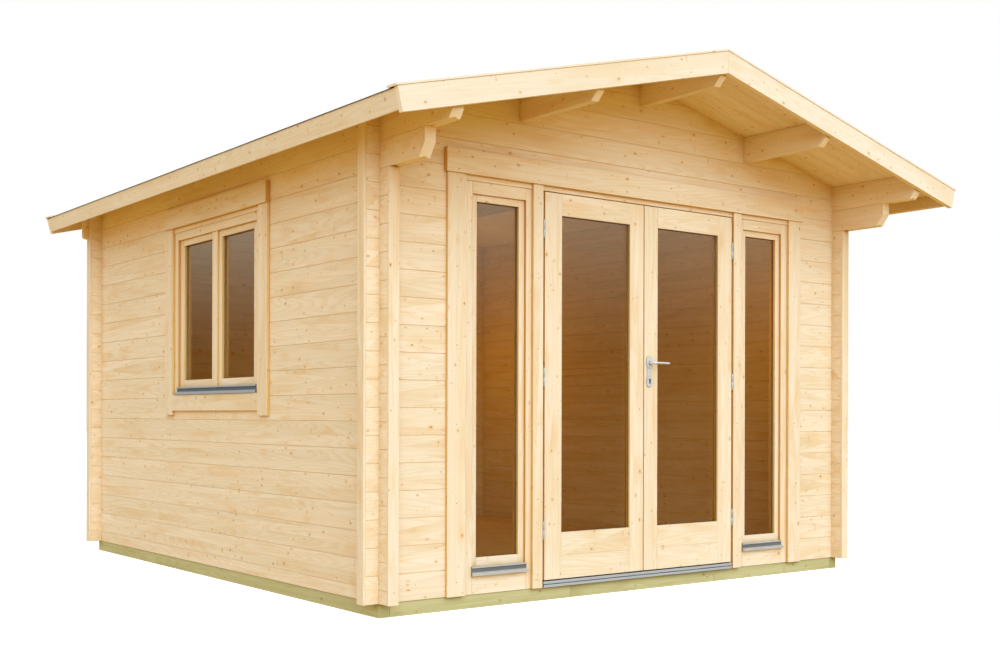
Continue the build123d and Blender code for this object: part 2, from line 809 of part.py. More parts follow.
def frame_hinge_half(z_middle):
    """Lower half on the post, with the pin that stands up into the upper half."""
    z_range = (z_middle - hinge_half_height, z_middle - hinge_half_gap / 2)
    barrel = hinge_barrel(*z_range, leaf_face)
    flap = hinge_flap((hinge_x - hinge_flap_thickness - seat_gap, hinge_x - seat_gap), z_range)
    pin_top = z_middle + hinge_pin_length
    pin_middle = (z_range[0] + pin_top) / 2
    pin = Pos(hinge_x, leaf_face, pin_middle) * Cylinder(hinge_pin_radius, pin_top - z_range[0])
    return barrel + flap + pin


def leaf_hinge_half(z_middle):
    """Upper half on the leaf, bored for the pin."""
    z_range = (z_middle + hinge_half_gap / 2, z_middle + hinge_half_height)
    flap_x = (leaf_edge_x + seat_gap, leaf_edge_x + seat_gap + hinge_flap_thickness)
    half = hinge_barrel(*z_range, leaf_face) + hinge_flap(flap_x, z_range)
    bore_top = z_middle + hinge_pin_length + hinge_pin_end_gap
    bore_length = bore_top - z_middle
    bore = Pos(hinge_x, leaf_face, z_middle + bore_length / 2) * Cylinder(
        hinge_pin_radius + hinge_pin_clearance, bore_length)
    return half - bore


def make_hinges():
    hinge_heights = [leaf_bottom + leaf_height * share for share in hinge_height_shares]
    frame_halves = [frame_hinge_half(z) for z in hinge_heights]
    write("frame_hinges", frame_halves + [mirrored(half) for half in frame_halves])
    leaf_halves = [leaf_hinge_half(z) for z in hinge_heights]
    write("right_door_hinges", leaf_halves)
    write("left_door_hinges", [mirrored(half) for half in leaf_halves])


def make_leaves():
    """Both door leaves: stiles, a top rail, two bottom boards and a pane each."""
    x_low = leaf_meeting_gap / 2
    members = frame_ranges(
        x_low, leaf_edge_x, leaf_bottom, leaf_top,
        meeting_stile_width, hinge_stile_width, 2 * leaf_bottom_board, leaf_top_rail)
    solids, pane = glazed_front(members, (leaf_face, leaf_back), leaf_glass_thickness)
    stiles = solids[:2]
    top_rail = solids[3]
    seam = leaf_bottom + leaf_bottom_board
    seam_cut = block((0, leaf_edge_x), grown((leaf_face, leaf_back), overrun), (seam - seat_gap, seam + seat_gap))
    bottom_boards = solids[2] - seam_cut
    write("left_door_stiles", [mirrored(stile) for stile in stiles])
    write("left_door_rails", [mirrored(top_rail), mirrored(bottom_boards)])
    write("left_door_glass", [mirrored(pane)])
    leaf_middle = (leaf_face + leaf_back) / 2
    spindle_hole = Pos(handle_x, leaf_middle, lever_height) * Rot(X=90) * Cylinder(
        spindle_hole_radius, leaf_thickness + overrun)
    write("right_door_stiles", [stiles[0] - spindle_hole, stiles[1]])
    write("right_door_rails", [top_rail, bottom_boards])
    write("right_door_glass", [pane])


def handle_plate(y_low, y_high):
    """A long plate with cut corners and a hole for the lever's neck."""
    y_middle = (y_low + y_high) / 2
    plate_middle = lever_height - lever_above_plate_middle
    plate = Box(handle_plate_width, y_high - y_low, handle_plate_height)
    plate = chamfer(plate.edges().filter_by(Axis.Y), handle_plate_corner)
    plate = Pos(handle_x, y_middle, plate_middle) * plate
    hole = Pos(handle_x, y_middle, lever_height) * Rot(X=90) * Cylinder(
        lever_neck_radius + lever_neck_clearance, overrun)
    return plate - hole


def lever_grip(y_leaf, outward):
    """A round neck out of the plate and a flat grip whose end turns back towards the door."""
    y_out = y_leaf + outward * lever_neck_length
    neck_middle = (y_leaf + y_out) / 2
    neck = Pos(handle_x, neck_middle, lever_height) * Rot(X=90) * Cylinder(lever_neck_radius, lever_neck_length)
    x_low = handle_x - lever_grip_height / 2
    x_high = x_low + lever_grip_length
    y_in = y_out - outward * lever_grip_thickness
    y_return = y_in - outward * lever_return_depth
    points = [
        (x_low, y_in),
        (x_low, y_out - outward * lever_grip_chamfer),
        (x_low + lever_grip_chamfer, y_out),
        (x_high - lever_return_length, y_out),
        (x_high, y_in - outward * lever_grip_chamfer),
        (x_high, y_return),
        (x_high - lever_grip_thickness, y_return),
        (x_high - lever_return_length, y_in),
    ]
    z_low = lever_height - lever_grip_height / 2
    outline = Polyline([(x, y, z_low) for x, y in points], close=True)
    grip = extrude(make_face(outline), amount=lever_grip_height, dir=(0, 0, 1))
    return neck + grip


def make_handle():
    outer = (leaf_face - handle_plate_thickness, leaf_face - seat_gap)
    inner = (leaf_back + seat_gap, leaf_back + handle_plate_thickness)
    write("right_door_handle_plates", [handle_plate(*outer), handle_plate(*inner)])
    spindle = block(
        grown((handle_x, handle_x), spindle_width / 2),
        grown((leaf_face, leaf_back), handle_plate_thickness),
        grown((lever_height, lever_height), spindle_width / 2),
    )
    lever = lever_grip(leaf_face, -1) + spindle + lever_grip(leaf_back, 1)
    write("lever_handle", [lever])


def main():
    os.makedirs("parts", exist_ok=True)
    make_base()
    roof_cut = under_roof()
    purlin_cuts = make_purlins()
    make_side_walls(roof_cut)
    make_end_walls(roof_cut, purlin_cuts)
    make_tail_covers()
    make_roof()
    make_front_frame()
    make_front_casing()
    make_sidelights()
    make_window()
    make_hinges()
    make_leaves()
    make_handle()


main()
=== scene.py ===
"""Looks of the garden chalet: wood, felt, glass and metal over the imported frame, in metres."""
import math

import bmesh
import bpy
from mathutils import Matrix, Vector, noise


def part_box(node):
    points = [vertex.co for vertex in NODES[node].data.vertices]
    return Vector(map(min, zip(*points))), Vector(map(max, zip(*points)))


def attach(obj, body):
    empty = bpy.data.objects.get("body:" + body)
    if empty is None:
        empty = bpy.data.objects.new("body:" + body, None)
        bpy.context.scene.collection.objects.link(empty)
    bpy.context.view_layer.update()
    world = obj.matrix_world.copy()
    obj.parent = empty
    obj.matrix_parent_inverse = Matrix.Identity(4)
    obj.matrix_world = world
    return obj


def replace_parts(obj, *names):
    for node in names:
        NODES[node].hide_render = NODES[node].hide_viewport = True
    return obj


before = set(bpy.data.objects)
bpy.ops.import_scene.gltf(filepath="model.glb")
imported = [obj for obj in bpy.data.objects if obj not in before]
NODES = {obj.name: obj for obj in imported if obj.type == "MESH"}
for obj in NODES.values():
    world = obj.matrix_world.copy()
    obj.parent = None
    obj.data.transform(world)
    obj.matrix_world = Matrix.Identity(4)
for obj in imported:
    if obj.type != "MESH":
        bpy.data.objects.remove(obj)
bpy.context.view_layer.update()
PITCH = math.radians(13.9)
COS_PITCH = math.cos(PITCH)
SIN_PITCH = math.sin(PITCH)

# Camera, fitted to the photograph
IMAGE_WIDTH = 1000
FOCAL_PIXELS = 1263.8
HORIZON_PIXELS_BELOW_MIDDLE = 79.4
CAMERA_PLACE = (-4.7620, -6.6098, 0.9444)
CAMERA_TURN = -0.6503
CAMERA_ROLL = -0.0028
SENSOR_WIDTH = 36.0

# Surface colours as they look in even light, 0 to 255
PALE_SPRUCE = (241, 225, 198)
TAN_SPRUCE = (234, 213, 179)
WARM_SPRUCE = (226, 184, 116)
SPRUCE_END = (248, 236, 216)
# Board ends: an end-grain colour, deepened to paint the shade on them
SPRUCE_BOARD_END_AND_SHADE = (218, 176, 112)
TRIM_PALE = (241, 228, 206)
TRIM_TAN = (236, 218, 189)
TRIM_WARM = (229, 198, 148)
TREATED_PALE = (198, 192, 142)
TREATED_TAN = (180, 174, 120)
TREATED_WARM = (168, 158, 102)
TREATED_END = (176, 172, 122)
FLOOR_PALE = (236, 206, 160)
FLOOR_TAN = (222, 186, 136)
FLOOR_WARM = (206, 164, 108)
FLOOR_END = (200, 158, 108)

# What marks multiply the wood's colour by, and the painted shade on narrow edges and in corners
KNOT_TINT = (0.66, 0.36, 0.07, 1.0)
KNOT_RIM_TINT = (0.46, 0.22, 0.05, 1.0)
EDGE_SHADE_TINT = (0.94, 0.82, 0.50, 1.0)
CREVICE_SHADE_TINT = (0.83, 0.64, 0.34, 1.0)
TREATED_CREVICE_SHADE_TINT = (0.40, 0.36, 0.18, 1.0)
# Painted shade in corners and joints: its samples, the open and deep ends of its ramp, and how far it
# reaches on wood, logs, steel and aluminium
CREVICE_SAMPLES = 5
CREVICE_OPEN = 0.96
CREVICE_DEEP = 0.28
WOOD_CREVICE = 0.036
LOG_CREVICE = 0.080
STEEL_CREVICE = 0.014
ALUMINIUM_CREVICE = 0.030
# Painted shade deep in a drip rail's groove: how far in it starts, how soft its edge is, and how dark it
# gets
GROOVE_DEPTH = 0.0168
GROOVE_FADE = 0.0016
GROOVE_SHADE = 0.82

# Marks in wood: cells per metre along and across, the share of cells with one, and its sizes in cells
KNOTS = ((8.0, 11.5), 0.62, (0.022, 0.062))
PIN_KNOTS = ((19.0, 24.0), 0.17, (0.034, 0.062))
SPIKES = ((10.0, 3.4), 0.22, (0.05, 0.085))
PATCHES = ((2.6, 5.5), 0.5, (0.10, 0.26))

# How fast the grain changes along, across and through the wood, per metre
RIPPLE_SCALE = (150.0, 150.0, 40.0)
RING_SCALE = (0.42, 6.0, 6.0)
STREAK_SCALE = (1.3, 42.0, 42.0)
FIBRE_SCALE = (7.0, 420.0, 420.0)
CLOUD_SCALE = (1.6, 7.0, 7.0)
RINGS_IN_FIELD = 34.0
END_RINGS_PER_METRE = 330.0
HEART_PLACE = (0.0, 0.06, 0.11)
HEART_SHIFT = (0.0, 0.004, 0.003)
PIECE_SHIFT = (71.3, 23.9, 37.1)

# Panes: what one face lets through, and the share that it mirrors head-on and at a slant
GLASS_TINT = (0.95, 0.89, 0.76, 1.0)
GLASS_TINT_PALE = (0.965, 0.915, 0.80, 1.0)
GLOSS_TINT = (0.95, 0.97, 1.0, 1.0)
MIRRORED_HEAD_ON = 0.085
MIRRORED_AT_SLANT = 0.5
SLANT_POWER = 4.0

# Felt, gaskets and metal
FELT_DARK = (0.013, 0.0098, 0.0078, 1.0)
FELT_GRAIN = (0.053, 0.041, 0.033, 1.0)
FELT_DUST = (0.041, 0.031, 0.0245, 1.0)
FELT_GRAINS_PER_METRE = 620.0
# Gasket browns, dark enough to paint the shade line at each pane's edge
GASKET_BROWN = (0.130, 0.058, 0.010, 1.0)
GASKET_DUST = (0.190, 0.092, 0.020, 1.0)
BRUSH_SCALE = (6.0, 900.0, 900.0)
DULL_SHARE = 0.86
# How dark painted shade makes metal
PAINTED_SHADE_SHARE = 0.20


def linear(colour):
    """A colour of 0 to 255 as the linear colour that a shader takes."""
    shares = [value / 255 for value in colour]
    return [*(s / 12.92 if s <= 0.04045 else ((s + 0.055) / 1.055) ** 2.4 for s in shares), 1.0]


# Shader nodes


class Nodes:
    """Adds nodes to one node tree, each with its inputs in one call."""

    def __init__(self, tree, output):
        self.tree = tree
        self.tree.nodes.clear()
        self.output = self.tree.nodes.new(output)

    def add(self, kind, inputs, **settings):
        node = self.tree.nodes.new(kind)
        for key, value in settings.items():
            setattr(node, key, value)
        for key, value in inputs.items():
            if isinstance(value, bpy.types.NodeSocket):
                self.tree.links.new(value, node.inputs[key])
            else:
                node.inputs[key].default_value = value
        return node

    def math(self, operation, a, b=0.0):
        return self.add("ShaderNodeMath", {0: a, 1: b}, operation=operation).outputs[0]

    def vector(self, operation, a, b):
        return self.add("ShaderNodeVectorMath", {0: a, 1: b}, operation=operation).outputs[0]

    def dot(self, a, b):
        return self.add("ShaderNodeVectorMath", {0: a, 1: b}, operation="DOT_PRODUCT").outputs["Value"]

    def join(self, x, y, z):
        return self.add("ShaderNodeCombineXYZ", {0: x, 1: y, 2: z}).outputs[0]

    def split(self, vector):
        return self.add("ShaderNodeSeparateXYZ", {0: vector}).outputs

    def noise(self, vector, detail=2.0, roughness=0.5):
        inputs = {"Vector": vector, "Scale": 1.0, "Detail": detail, "Roughness": roughness}
        return self.add("ShaderNodeTexNoise", inputs).outputs[0]

    def ramp(self, value, low, high, to_low=0.0, to_high=1.0, smooth=True):
        kind = "SMOOTHSTEP" if smooth else "LINEAR"
        inputs = {"Value": value, "From Min": low, "From Max": high, "To Min": to_low, "To Max": to_high}
        return self.add("ShaderNodeMapRange", inputs, interpolation_type=kind).outputs[0]

    def mix(self, factor, a, b, blend="MIX"):
        node = self.add("ShaderNodeMix", {0: factor, 6: a, 7: b}, data_type="RGBA", blend_type=blend)
        return node.outputs[2]

    def bump(self, height, strength, distance):
        inputs = {"Height": height, "Strength": strength, "Distance": distance}
        return self.add("ShaderNodeBump", inputs).outputs[0]

    def crevice(self, reach):
        """How much painted shade a point gets in a corner or joint: 0 in the open, near 1 in a narrow gap.
        """
        node = self.add("ShaderNodeAmbientOcclusion", {"Distance": reach}, samples=CREVICE_SAMPLES)
        return self.ramp(node.outputs["AO"], CREVICE_OPEN, CREVICE_DEEP)


class Shader(Nodes):
    """The nodes of one new material."""

    def __init__(self, name):
        self.material = bpy.data.materials.new(name)
        self.material.use_nodes = True
        super().__init__(self.material.node_tree, "ShaderNodeOutputMaterial")

    def principled(self, **inputs):
        names = {key: key.replace("_", " ").title().replace("Ior", "IOR") for key in inputs}
        node = self.add("ShaderNodeBsdfPrincipled", {names[key]: value for key, value in inputs.items()})
        self.tree.links.new(node.outputs[0], self.output.inputs[0])
        return self.material


# Grain: each kind gives the place in the wood as (along, across, through), and how far a face is end grain


def along_axis(axes):
    """Grain along the first of three axes."""

    def build(s):
        coordinates = s.add("ShaderNodeTexCoord", {})
        place = s.split(coordinates.outputs["Object"])
        facing = s.split(coordinates.outputs["Normal"])
        index = ["xyz".index(axis) for axis in axes]
        return s.join(*(place[i] for i in index)), s.math("ABSOLUTE", facing[index[0]])

    return build


def along_slope(across):
    """Grain down the roof slope. Across is y for roof boards and z for barge boards."""

    def build(s):
        coordinates = s.add("ShaderNodeTexCoord", {})
        place = s.split(coordinates.outputs["Object"])
        facing = s.split(coordinates.outputs["Normal"])
        from_ridge = s.join(s.math("ABSOLUTE", place[0]), place[1], place[2])
        down = s.dot(from_ridge, (COS_PITCH, 0.0, -SIN_PITCH))
        up = s.dot(from_ridge, (SIN_PITCH, 0.0, COS_PITCH))
        end = s.ramp(s.math("ABSOLUTE", facing[0]), 0.5, 0.95)
        sides = (place[1], up) if across == "y" else (up, place[1])
        return s.join(down, *sides), end

    return build


def framed(upright, level, axis, middle, low, high, above=None):
    """Upright grain, but level grain from low to high off the middle of an axis, or above a height."""

    def build(s):
        upright_place, upright_end = along_axis(upright)(s)
        level_place, level_end = along_axis(level)(s)
        place = s.split(s.add("ShaderNodeTexCoord", {}).outputs["Object"])
        distance = s.math("ABSOLUTE", s.math("SUBTRACT", place["XYZ".index(axis)], middle))
        past_low = s.math("GREATER_THAN", distance, low)
        inside = s.math("MULTIPLY", past_low, s.math("LESS_THAN", distance, high))
        if above is not None:
            inside = s.math("MAXIMUM", inside, s.math("GREATER_THAN", place[2], above))
        places = {0: inside, 4: upright_place, 5: level_place}
        place = s.add("ShaderNodeMix", places, data_type="VECTOR").outputs[1]
        end = s.add("ShaderNodeMix", {0: inside, 2: upright_end, 3: level_end}).outputs[0]
        return place, end

    return build


# Materials


def knots(s, along, across, marks, amount=1.0):
    """Spots scattered one to a cell: distance from the middle in sizes, presence, and the cell's lots."""
    cells, share, sizes = marks
    present_above = 1.0 - share * amount
    place = s.join(s.math("MULTIPLY", along, cells[0]), s.math("MULTIPLY", across, cells[1]), 0.0)
    inputs = {"Vector": place, "Scale": 1.0, "Randomness": 1.0}
    voronoi = s.add("ShaderNodeTexVoronoi", inputs, voronoi_dimensions="2D")
    lot = s.split(voronoi.outputs["Color"])
    size = s.ramp(lot[0], present_above, 1.0, sizes[0], sizes[1], smooth=False)
    present = s.math("GREATER_THAN", lot[0], present_above)
    reach = s.math("DIVIDE", voronoi.outputs["Distance"], size)
    return reach, present, lot


def wood(
    name, grain, colours, knot_amount=1.0, roughness=0.62,
    crevice=0.9, crevice_tint=CREVICE_SHADE_TINT, reach=WOOD_CREVICE, edge=None,
):
    """Planed softwood: fine growth rings, soft streaks, many small knots that bend the grain, end grain, and
    painted shade in corners and joints.

    Edge is the axis through a board's face, and gives the board's narrow sides a painted shade of deeper
    gold.
    """
    pale, tan, warm, end_colour = (linear(colour) for colour in colours)
    s = Shader(name)
    inside, end = grain(s)
    chance = s.add("ShaderNodeNewGeometry", {}).outputs["Random Per Island"]
    shift = s.vector("MULTIPLY", s.join(chance, chance, chance), PIECE_SHIFT)
    place = s.vector("ADD", inside, shift)
    along, across, _ = s.split(place)

    def noise_at(scale, *options):
        return s.noise(s.vector("MULTIPLY", place, scale), *options)

    # Round knots with a dark rim, pin knots, short streaks across the grain, and faint tan patches
    ripple = s.ramp(noise_at(RIPPLE_SCALE, 1.0), 0.0, 1.0, -0.35, 0.35, smooth=False)
    knot_reach, present, lot = knots(s, along, across, KNOTS, knot_amount)
    knot_reach = s.math("ADD", knot_reach, ripple)
    strength = s.math("MULTIPLY", present, s.ramp(lot[1], 0.0, 1.0, 0.22, 1.0, smooth=False))
    core = s.math("MULTIPLY", s.ramp(knot_reach, 1.15, 0.55), strength)
    ring = s.math("MULTIPLY", s.ramp(knot_reach, 1.3, 1.0), s.ramp(knot_reach, 0.6, 1.0))
    rim = s.math("MULTIPLY", ring, strength)
    halo = s.math("MULTIPLY", s.ramp(knot_reach, 3.6, 0.9), strength)
    pin_reach, pin_present, _ = knots(s, along, across, PIN_KNOTS, knot_amount)
    pin = s.math("MULTIPLY", s.ramp(pin_reach, 1.3, 0.6), s.math("MULTIPLY", pin_present, 0.8))
    spike_reach, spike_present, _ = knots(s, along, across, SPIKES, knot_amount)
    spike = s.math("MULTIPLY", s.ramp(spike_reach, 1.2, 0.4), spike_present)
    patch_reach, patch_present, _ = knots(s, along, across, PATCHES)
    patch = s.math("MULTIPLY", s.ramp(patch_reach, 1.2, 0.1), patch_present)

    # Growth rings are the contour lines of a slow field that runs along the grain and swells round a knot
    field = s.math("ADD", noise_at(RING_SCALE, 1.5, 0.45), s.math("MULTIPLY", halo, 0.03))
    rings = s.math("FRACT", s.math("MULTIPLY", field, RINGS_IN_FIELD))
    late = s.math("MULTIPLY", s.ramp(rings, 0.30, 0.90), s.ramp(rings, 1.0, 0.93))
    streaks = noise_at(STREAK_SCALE, 3.0, 0.55)
    fibres = noise_at(FIBRE_SCALE, 2.0, 0.6)
    clouds = noise_at(CLOUD_SCALE, 2.0, 0.5)

    colour = s.mix(s.ramp(streaks, 0.36, 0.74, 0.0, 0.62), pale, tan)
    colour = s.mix(s.ramp(clouds, 0.44, 0.78, 0.0, 0.46), colour, warm)
    colour = s.mix(s.math("MULTIPLY", late, 0.24), colour, warm)
    shade = s.ramp(fibres, 0.25, 0.75, 0.965, 1.03, smooth=False)
    shade = s.math("MULTIPLY", shade, s.ramp(chance, 0.0, 1.0, 0.965, 1.025, smooth=False))
    colour = s.mix(1.0, colour, s.join(shade, shade, s.math("POWER", shade, 1.5)), "MULTIPLY")

    # End grain: rings round a heart that lies outside the piece
    end_mask = s.ramp(end, 0.45, 0.75)
    heart_shift = s.vector("MULTIPLY", shift, HEART_SHIFT)
    heart = s.vector("ADD", s.vector("SUBTRACT", inside, HEART_PLACE), heart_shift)
    _, heart_across, heart_through = s.split(heart)
    squares = s.math("ADD", s.math("POWER", heart_across, 2.0), s.math("POWER", heart_through, 2.0))
    end_rings = s.math("FRACT", s.math("MULTIPLY", s.math("SQRT", squares), END_RINGS_PER_METRE))
    end_tone = s.mix(s.ramp(end_rings, 0.3, 0.95, 0.0, 0.3), end_colour, warm)
    colour = s.mix(s.math("MULTIPLY", end_mask, 0.9), colour, end_tone)

    # What marks a face: the first two towards the warm colour, the others darker
    marks = s.math("SUBTRACT", 1.0, end_mask)
    for mark, amount in ((patch, 0.34), (halo, 0.46)):
        colour = s.mix(s.math("MULTIPLY", s.math("MULTIPLY", mark, marks), amount), colour, warm)
    stains = (
        (spike, 0.26, KNOT_TINT),
        (core, 0.80, KNOT_TINT),
        (rim, 0.55, KNOT_RIM_TINT),
        (pin, 0.85, KNOT_TINT),
    )
    for mark, amount, tint in stains:
        colour = s.mix(s.math("MULTIPLY", s.math("MULTIPLY", mark, marks), amount), colour, tint, "MULTIPLY")

    # Painted shade: narrow sides of boards, corners and joints are a deeper gold
    if edge:
        facing = s.split(s.add("ShaderNodeTexCoord", {}).outputs["Normal"])
        # Painted shade on faces that point neither through the board nor up
        narrow = s.ramp(s.math("ABSOLUTE", facing["xyz".index(edge)]), 0.75, 0.35)
        narrow = s.math("MULTIPLY", narrow, s.ramp(facing[2], 0.6, 0.2))
        colour = s.mix(narrow, colour, EDGE_SHADE_TINT, "MULTIPLY")
    # Painted shade from ambient occlusion, a deeper gold in corners and joints
    colour = s.mix(s.math("MULTIPLY", s.crevice(reach), crevice), colour, crevice_tint, "MULTIPLY")

    height = s.math("ADD", s.math("MULTIPLY", late, 0.5), s.math("MULTIPLY", fibres, 0.6))
    height = s.math("ADD", height, s.math("MULTIPLY", core, 0.8))
    worn = s.math("ADD", fibres, s.math("MULTIPLY", late, 0.4))
    return s.principled(
        base_color=colour,
        roughness=s.ramp(worn, 0.2, 1.1, roughness - 0.08, roughness + 0.1),
        normal=s.bump(height, 0.18, 0.0005),
        specular_ior_level=0.30,
    )


def spruce(name, grain, end=SPRUCE_END, **options):
    return wood(name, grain, (PALE_SPRUCE, TAN_SPRUCE, WARM_SPRUCE, end), **options)


def spruce_board(name, grain, through, **options):
    """A board of a frame, casing or leaf: painted shade makes its narrow sides deeper than its face, and its
    end grain is a deeper colour that partly paints the shade on its ends.
    """
    return spruce(name, grain, end=SPRUCE_BOARD_END_AND_SHADE, edge=through, **options)


def felt_material():
    """Bitumen felt with fine mineral grains and faint weather streaks."""
    s = Shader("roofing_felt")
    place = s.add("ShaderNodeTexCoord", {}).outputs["Object"]
    grains = s.add("ShaderNodeTexVoronoi", {"Vector": place, "Scale": FELT_GRAINS_PER_METRE})
    clouds = s.noise(s.vector("MULTIPLY", place, (3.0, 1.2, 3.0)), 4.0, 0.6)
    speck = s.split(grains.outputs["Color"])[0]
    colour = s.mix(s.ramp(speck, 0.35, 1.0), FELT_DARK, FELT_GRAIN)
    colour = s.mix(s.ramp(clouds, 0.4, 0.8, 0.0, 0.45), colour, FELT_DUST)
    return s.principled(
        base_color=colour,
        roughness=s.ramp(speck, 0.0, 1.0, 0.82, 0.96),
        normal=s.bump(grains.outputs["Distance"], 0.5, 0.0012),
        specular_ior_level=0.25,
    )


def metal(name, colour, roughness, axes, metallic=0.4, reach=STEEL_CREVICE, groove=None):
    """Satin metal with fine draw lines along the first axis, faint dull patches and painted shade in its
    corners.

    Groove is an axis and the value past which the metal lies deep in its profile, where painted shade makes
    it dark.
    """
    s = Shader(name)
    place, _ = along_axis(axes)(s)
    lines = s.noise(s.vector("MULTIPLY", place, BRUSH_SCALE), 2.0, 0.6)
    patches = s.noise(s.vector("MULTIPLY", place, (9.0, 14.0, 14.0)), 3.0, 0.55)
    bright = linear(colour)
    dull = [*(value * DULL_SHARE for value in bright[:3]), 1.0]
    dark = [*(value * PAINTED_SHADE_SHARE for value in bright[:3]), 1.0]
    tint = s.mix(s.ramp(lines, 0.3, 0.7), dull, bright)
    tint = s.mix(s.ramp(patches, 0.45, 0.75, 0.0, 0.35), tint, dull)
    # Painted shade in corners
    tint = s.mix(s.math("MULTIPLY", s.crevice(reach), 0.95), tint, dark)
    # Painted shade on the recessed web of a drip rail's groove
    if groove:
        spot = s.split(s.add("ShaderNodeTexCoord", {}).outputs["Object"])["xyz".index(groove[0])]
        shade = s.ramp(spot, groove[1] - GROOVE_FADE, groove[1] + GROOVE_FADE, 0.0, GROOVE_SHADE)
        tint = s.mix(shade, tint, dark)
    rough = s.ramp(patches, 0.3, 0.8, roughness - 0.05, roughness + 0.1)
    rough = s.math("ADD", rough, s.math("MULTIPLY", lines, 0.06))
    drawn = s.bump(lines, 0.12, 0.0003)
    return s.principled(base_color=tint, metallic=metallic, roughness=rough, normal=drawn)


def glass_material():
    """Clear pane: light passes straight through, and the surface mirrors more at a slant."""
    s = Shader("window_glass")
    slant = s.add("ShaderNodeLayerWeight", {"Blend": 0.5}).outputs["Facing"]
    mirror = s.math("MULTIPLY", s.math("POWER", slant, SLANT_POWER), MIRRORED_AT_SLANT)
    mirror = s.math("ADD", mirror, MIRRORED_HEAD_ON)
    haze = s.noise(s.add("ShaderNodeTexCoord", {}).outputs["Object"], 2.0)
    tint = s.mix(s.ramp(haze, 0.3, 0.7), GLASS_TINT, GLASS_TINT_PALE)
    clear = s.add("ShaderNodeBsdfTransparent", {"Color": tint}).outputs[0]
    gloss = s.add("ShaderNodeBsdfGlossy", {"Color": GLOSS_TINT, "Roughness": 0.0}).outputs[0]
    mixed = s.add("ShaderNodeMixShader", {0: mirror, 1: clear, 2: gloss}).outputs[0]
    s.tree.links.new(mixed, s.output.inputs[0])
    return s.material


def rubber_with_painted_shade():
    """Brown rubber with dust on it, dark enough to paint the shade line at the edge of each pane."""
    s = Shader("glazing_gasket")
    place = s.add("ShaderNodeTexCoord", {}).outputs["Object"]
    dust = s.noise(s.vector("MULTIPLY", place, (60.0, 60.0, 60.0)), 3.0)
    colour = s.mix(s.ramp(dust, 0.4, 0.8), GASKET_BROWN, GASKET_DUST)
    return s.principled(base_color=colour, roughness=s.ramp(dust, 0.2, 0.8, 0.55, 0.75))


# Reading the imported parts


def solids(node):
    """The boxes of the separate solids of a node, as (lowest, highest) corners."""
    mesh = NODES[node].data
    places = [tuple(round(c, 5) for c in v.co) for v in mesh.vertices]
    home = {place: place for place in places}

    def root(place):
        while home[place] != place:
            place = home[place]
        return place

    for polygon in mesh.polygons:
        first, *rest = [root(places[i]) for i in polygon.vertices]
        for other in rest:
            home[root(other)] = root(first)
    groups = {}
    for place in home:
        groups.setdefault(root(place), []).append(place)
    boxes = []
    for points in groups.values():
        low = Vector(min(p[i] for p in points) for i in range(3))
        high = Vector(max(p[i] for p in points) for i in range(3))
        boxes.append((low, high))
    return sorted(boxes, key=lambda box: tuple(box[0]))


def outline(node, axis):
    """The convex section of a straight piece, as points without that axis, in order round their middle."""
    others = [i for i in range(3) if i != axis]
    points = {tuple(round(v.co[i], 5) for i in others) for v in NODES[node].data.vertices}
    middle = [sum(p[i] for p in points) / len(points) for i in range(2)]
    return sorted(points, key=lambda p: math.atan2(p[1] - middle[1], p[0] - middle[0]))


# Making meshes

SHARP_ANGLE = math.radians(28)
WELD_REACH = 0.0001
STUD_LEVEL_SHARES = ((1.0, -0.5), (1.0, 0.35), (0.72, 0.85), (0.36, 1.0))


def finish_mesh(name, bm, material, body="chalet", bevel=0.0, smooth=False):
    """Makes an object of a mesh, and hangs it on its body."""
    bmesh.ops.recalc_face_normals(bm, faces=bm.faces)
    mesh = bpy.data.meshes.new(name)
    bm.to_mesh(mesh)
    bm.free()
    piece = bpy.data.objects.new(name, mesh)
    bpy.context.scene.collection.objects.link(piece)
    mesh.materials.append(material)
    for polygon in mesh.polygons:
        polygon.use_smooth = smooth
    if bevel:
        soften(piece, bevel)
    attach(piece, body)
    return piece


def soften(piece, width):
    """Rounds the sharp edges of a piece a little."""
    bevel = piece.modifiers.new("soft_edges", "BEVEL")
    bevel.width = width
    bevel.segments = 2
    bevel.limit_method = "ANGLE"
    bevel.angle_limit = SHARP_ANGLE
    bevel.harden_normals = True


def dress(node, material, edge):
    """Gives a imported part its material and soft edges."""
    piece = NODES[node]
    piece.material_slots[0].material = material
    if edge:
        weld = piece.modifiers.new("weld", "WELD")
        weld.merge_threshold = WELD_REACH
        soften(piece, edge)


def turns(count, offset=0.0):
    """Angles spread evenly round a circle."""
    return [2 * math.pi * (i + offset) / count for i in range(count)]


def join_rings(bm, rings):
    """Adds the faces between each ring of a row and the next."""
    for below, above in zip(rings, rings[1:]):
        for i in range(len(below)):
            j = (i + 1) % len(below)
            bm.faces.new((below[i], below[j], above[j], above[i]))


def add_tube(bm, rings):
    """Adds a closed piece through rings of points, all with the same count."""
    made = [[bm.verts.new(point) for point in ring] for ring in rings]
    bm.faces.new(made[0])
    bm.faces.new(made[-1])
    join_rings(bm, made)


def add_prism(bm, points, axis, low, high):
    """Adds a closed straight piece with this section between two values on an axis."""
    rings = []
    for value in (low, high):
        ring = []
        for point in points:
            place = list(point)
            place.insert(axis, value)
            ring.append(place)
        rings.append(ring)
    add_tube(bm, rings)


def sliced_boards(name, node, axis, width, gap, material, bevel):
    """Boards in place of one slab: the slab's section, cut across an axis."""
    low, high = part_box(node)
    count = round((high[axis] - low[axis]) / width)
    pitch = (high[axis] - low[axis]) / count
    section = outline(node, axis)
    bm = bmesh.new()
    for i in range(count):
        start = low[axis] + i * pitch
        add_prism(bm, section, axis, start + gap / 2, start + pitch - gap / 2)
    piece = finish_mesh(name, bm, material, bevel=bevel)
    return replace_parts(piece, node)


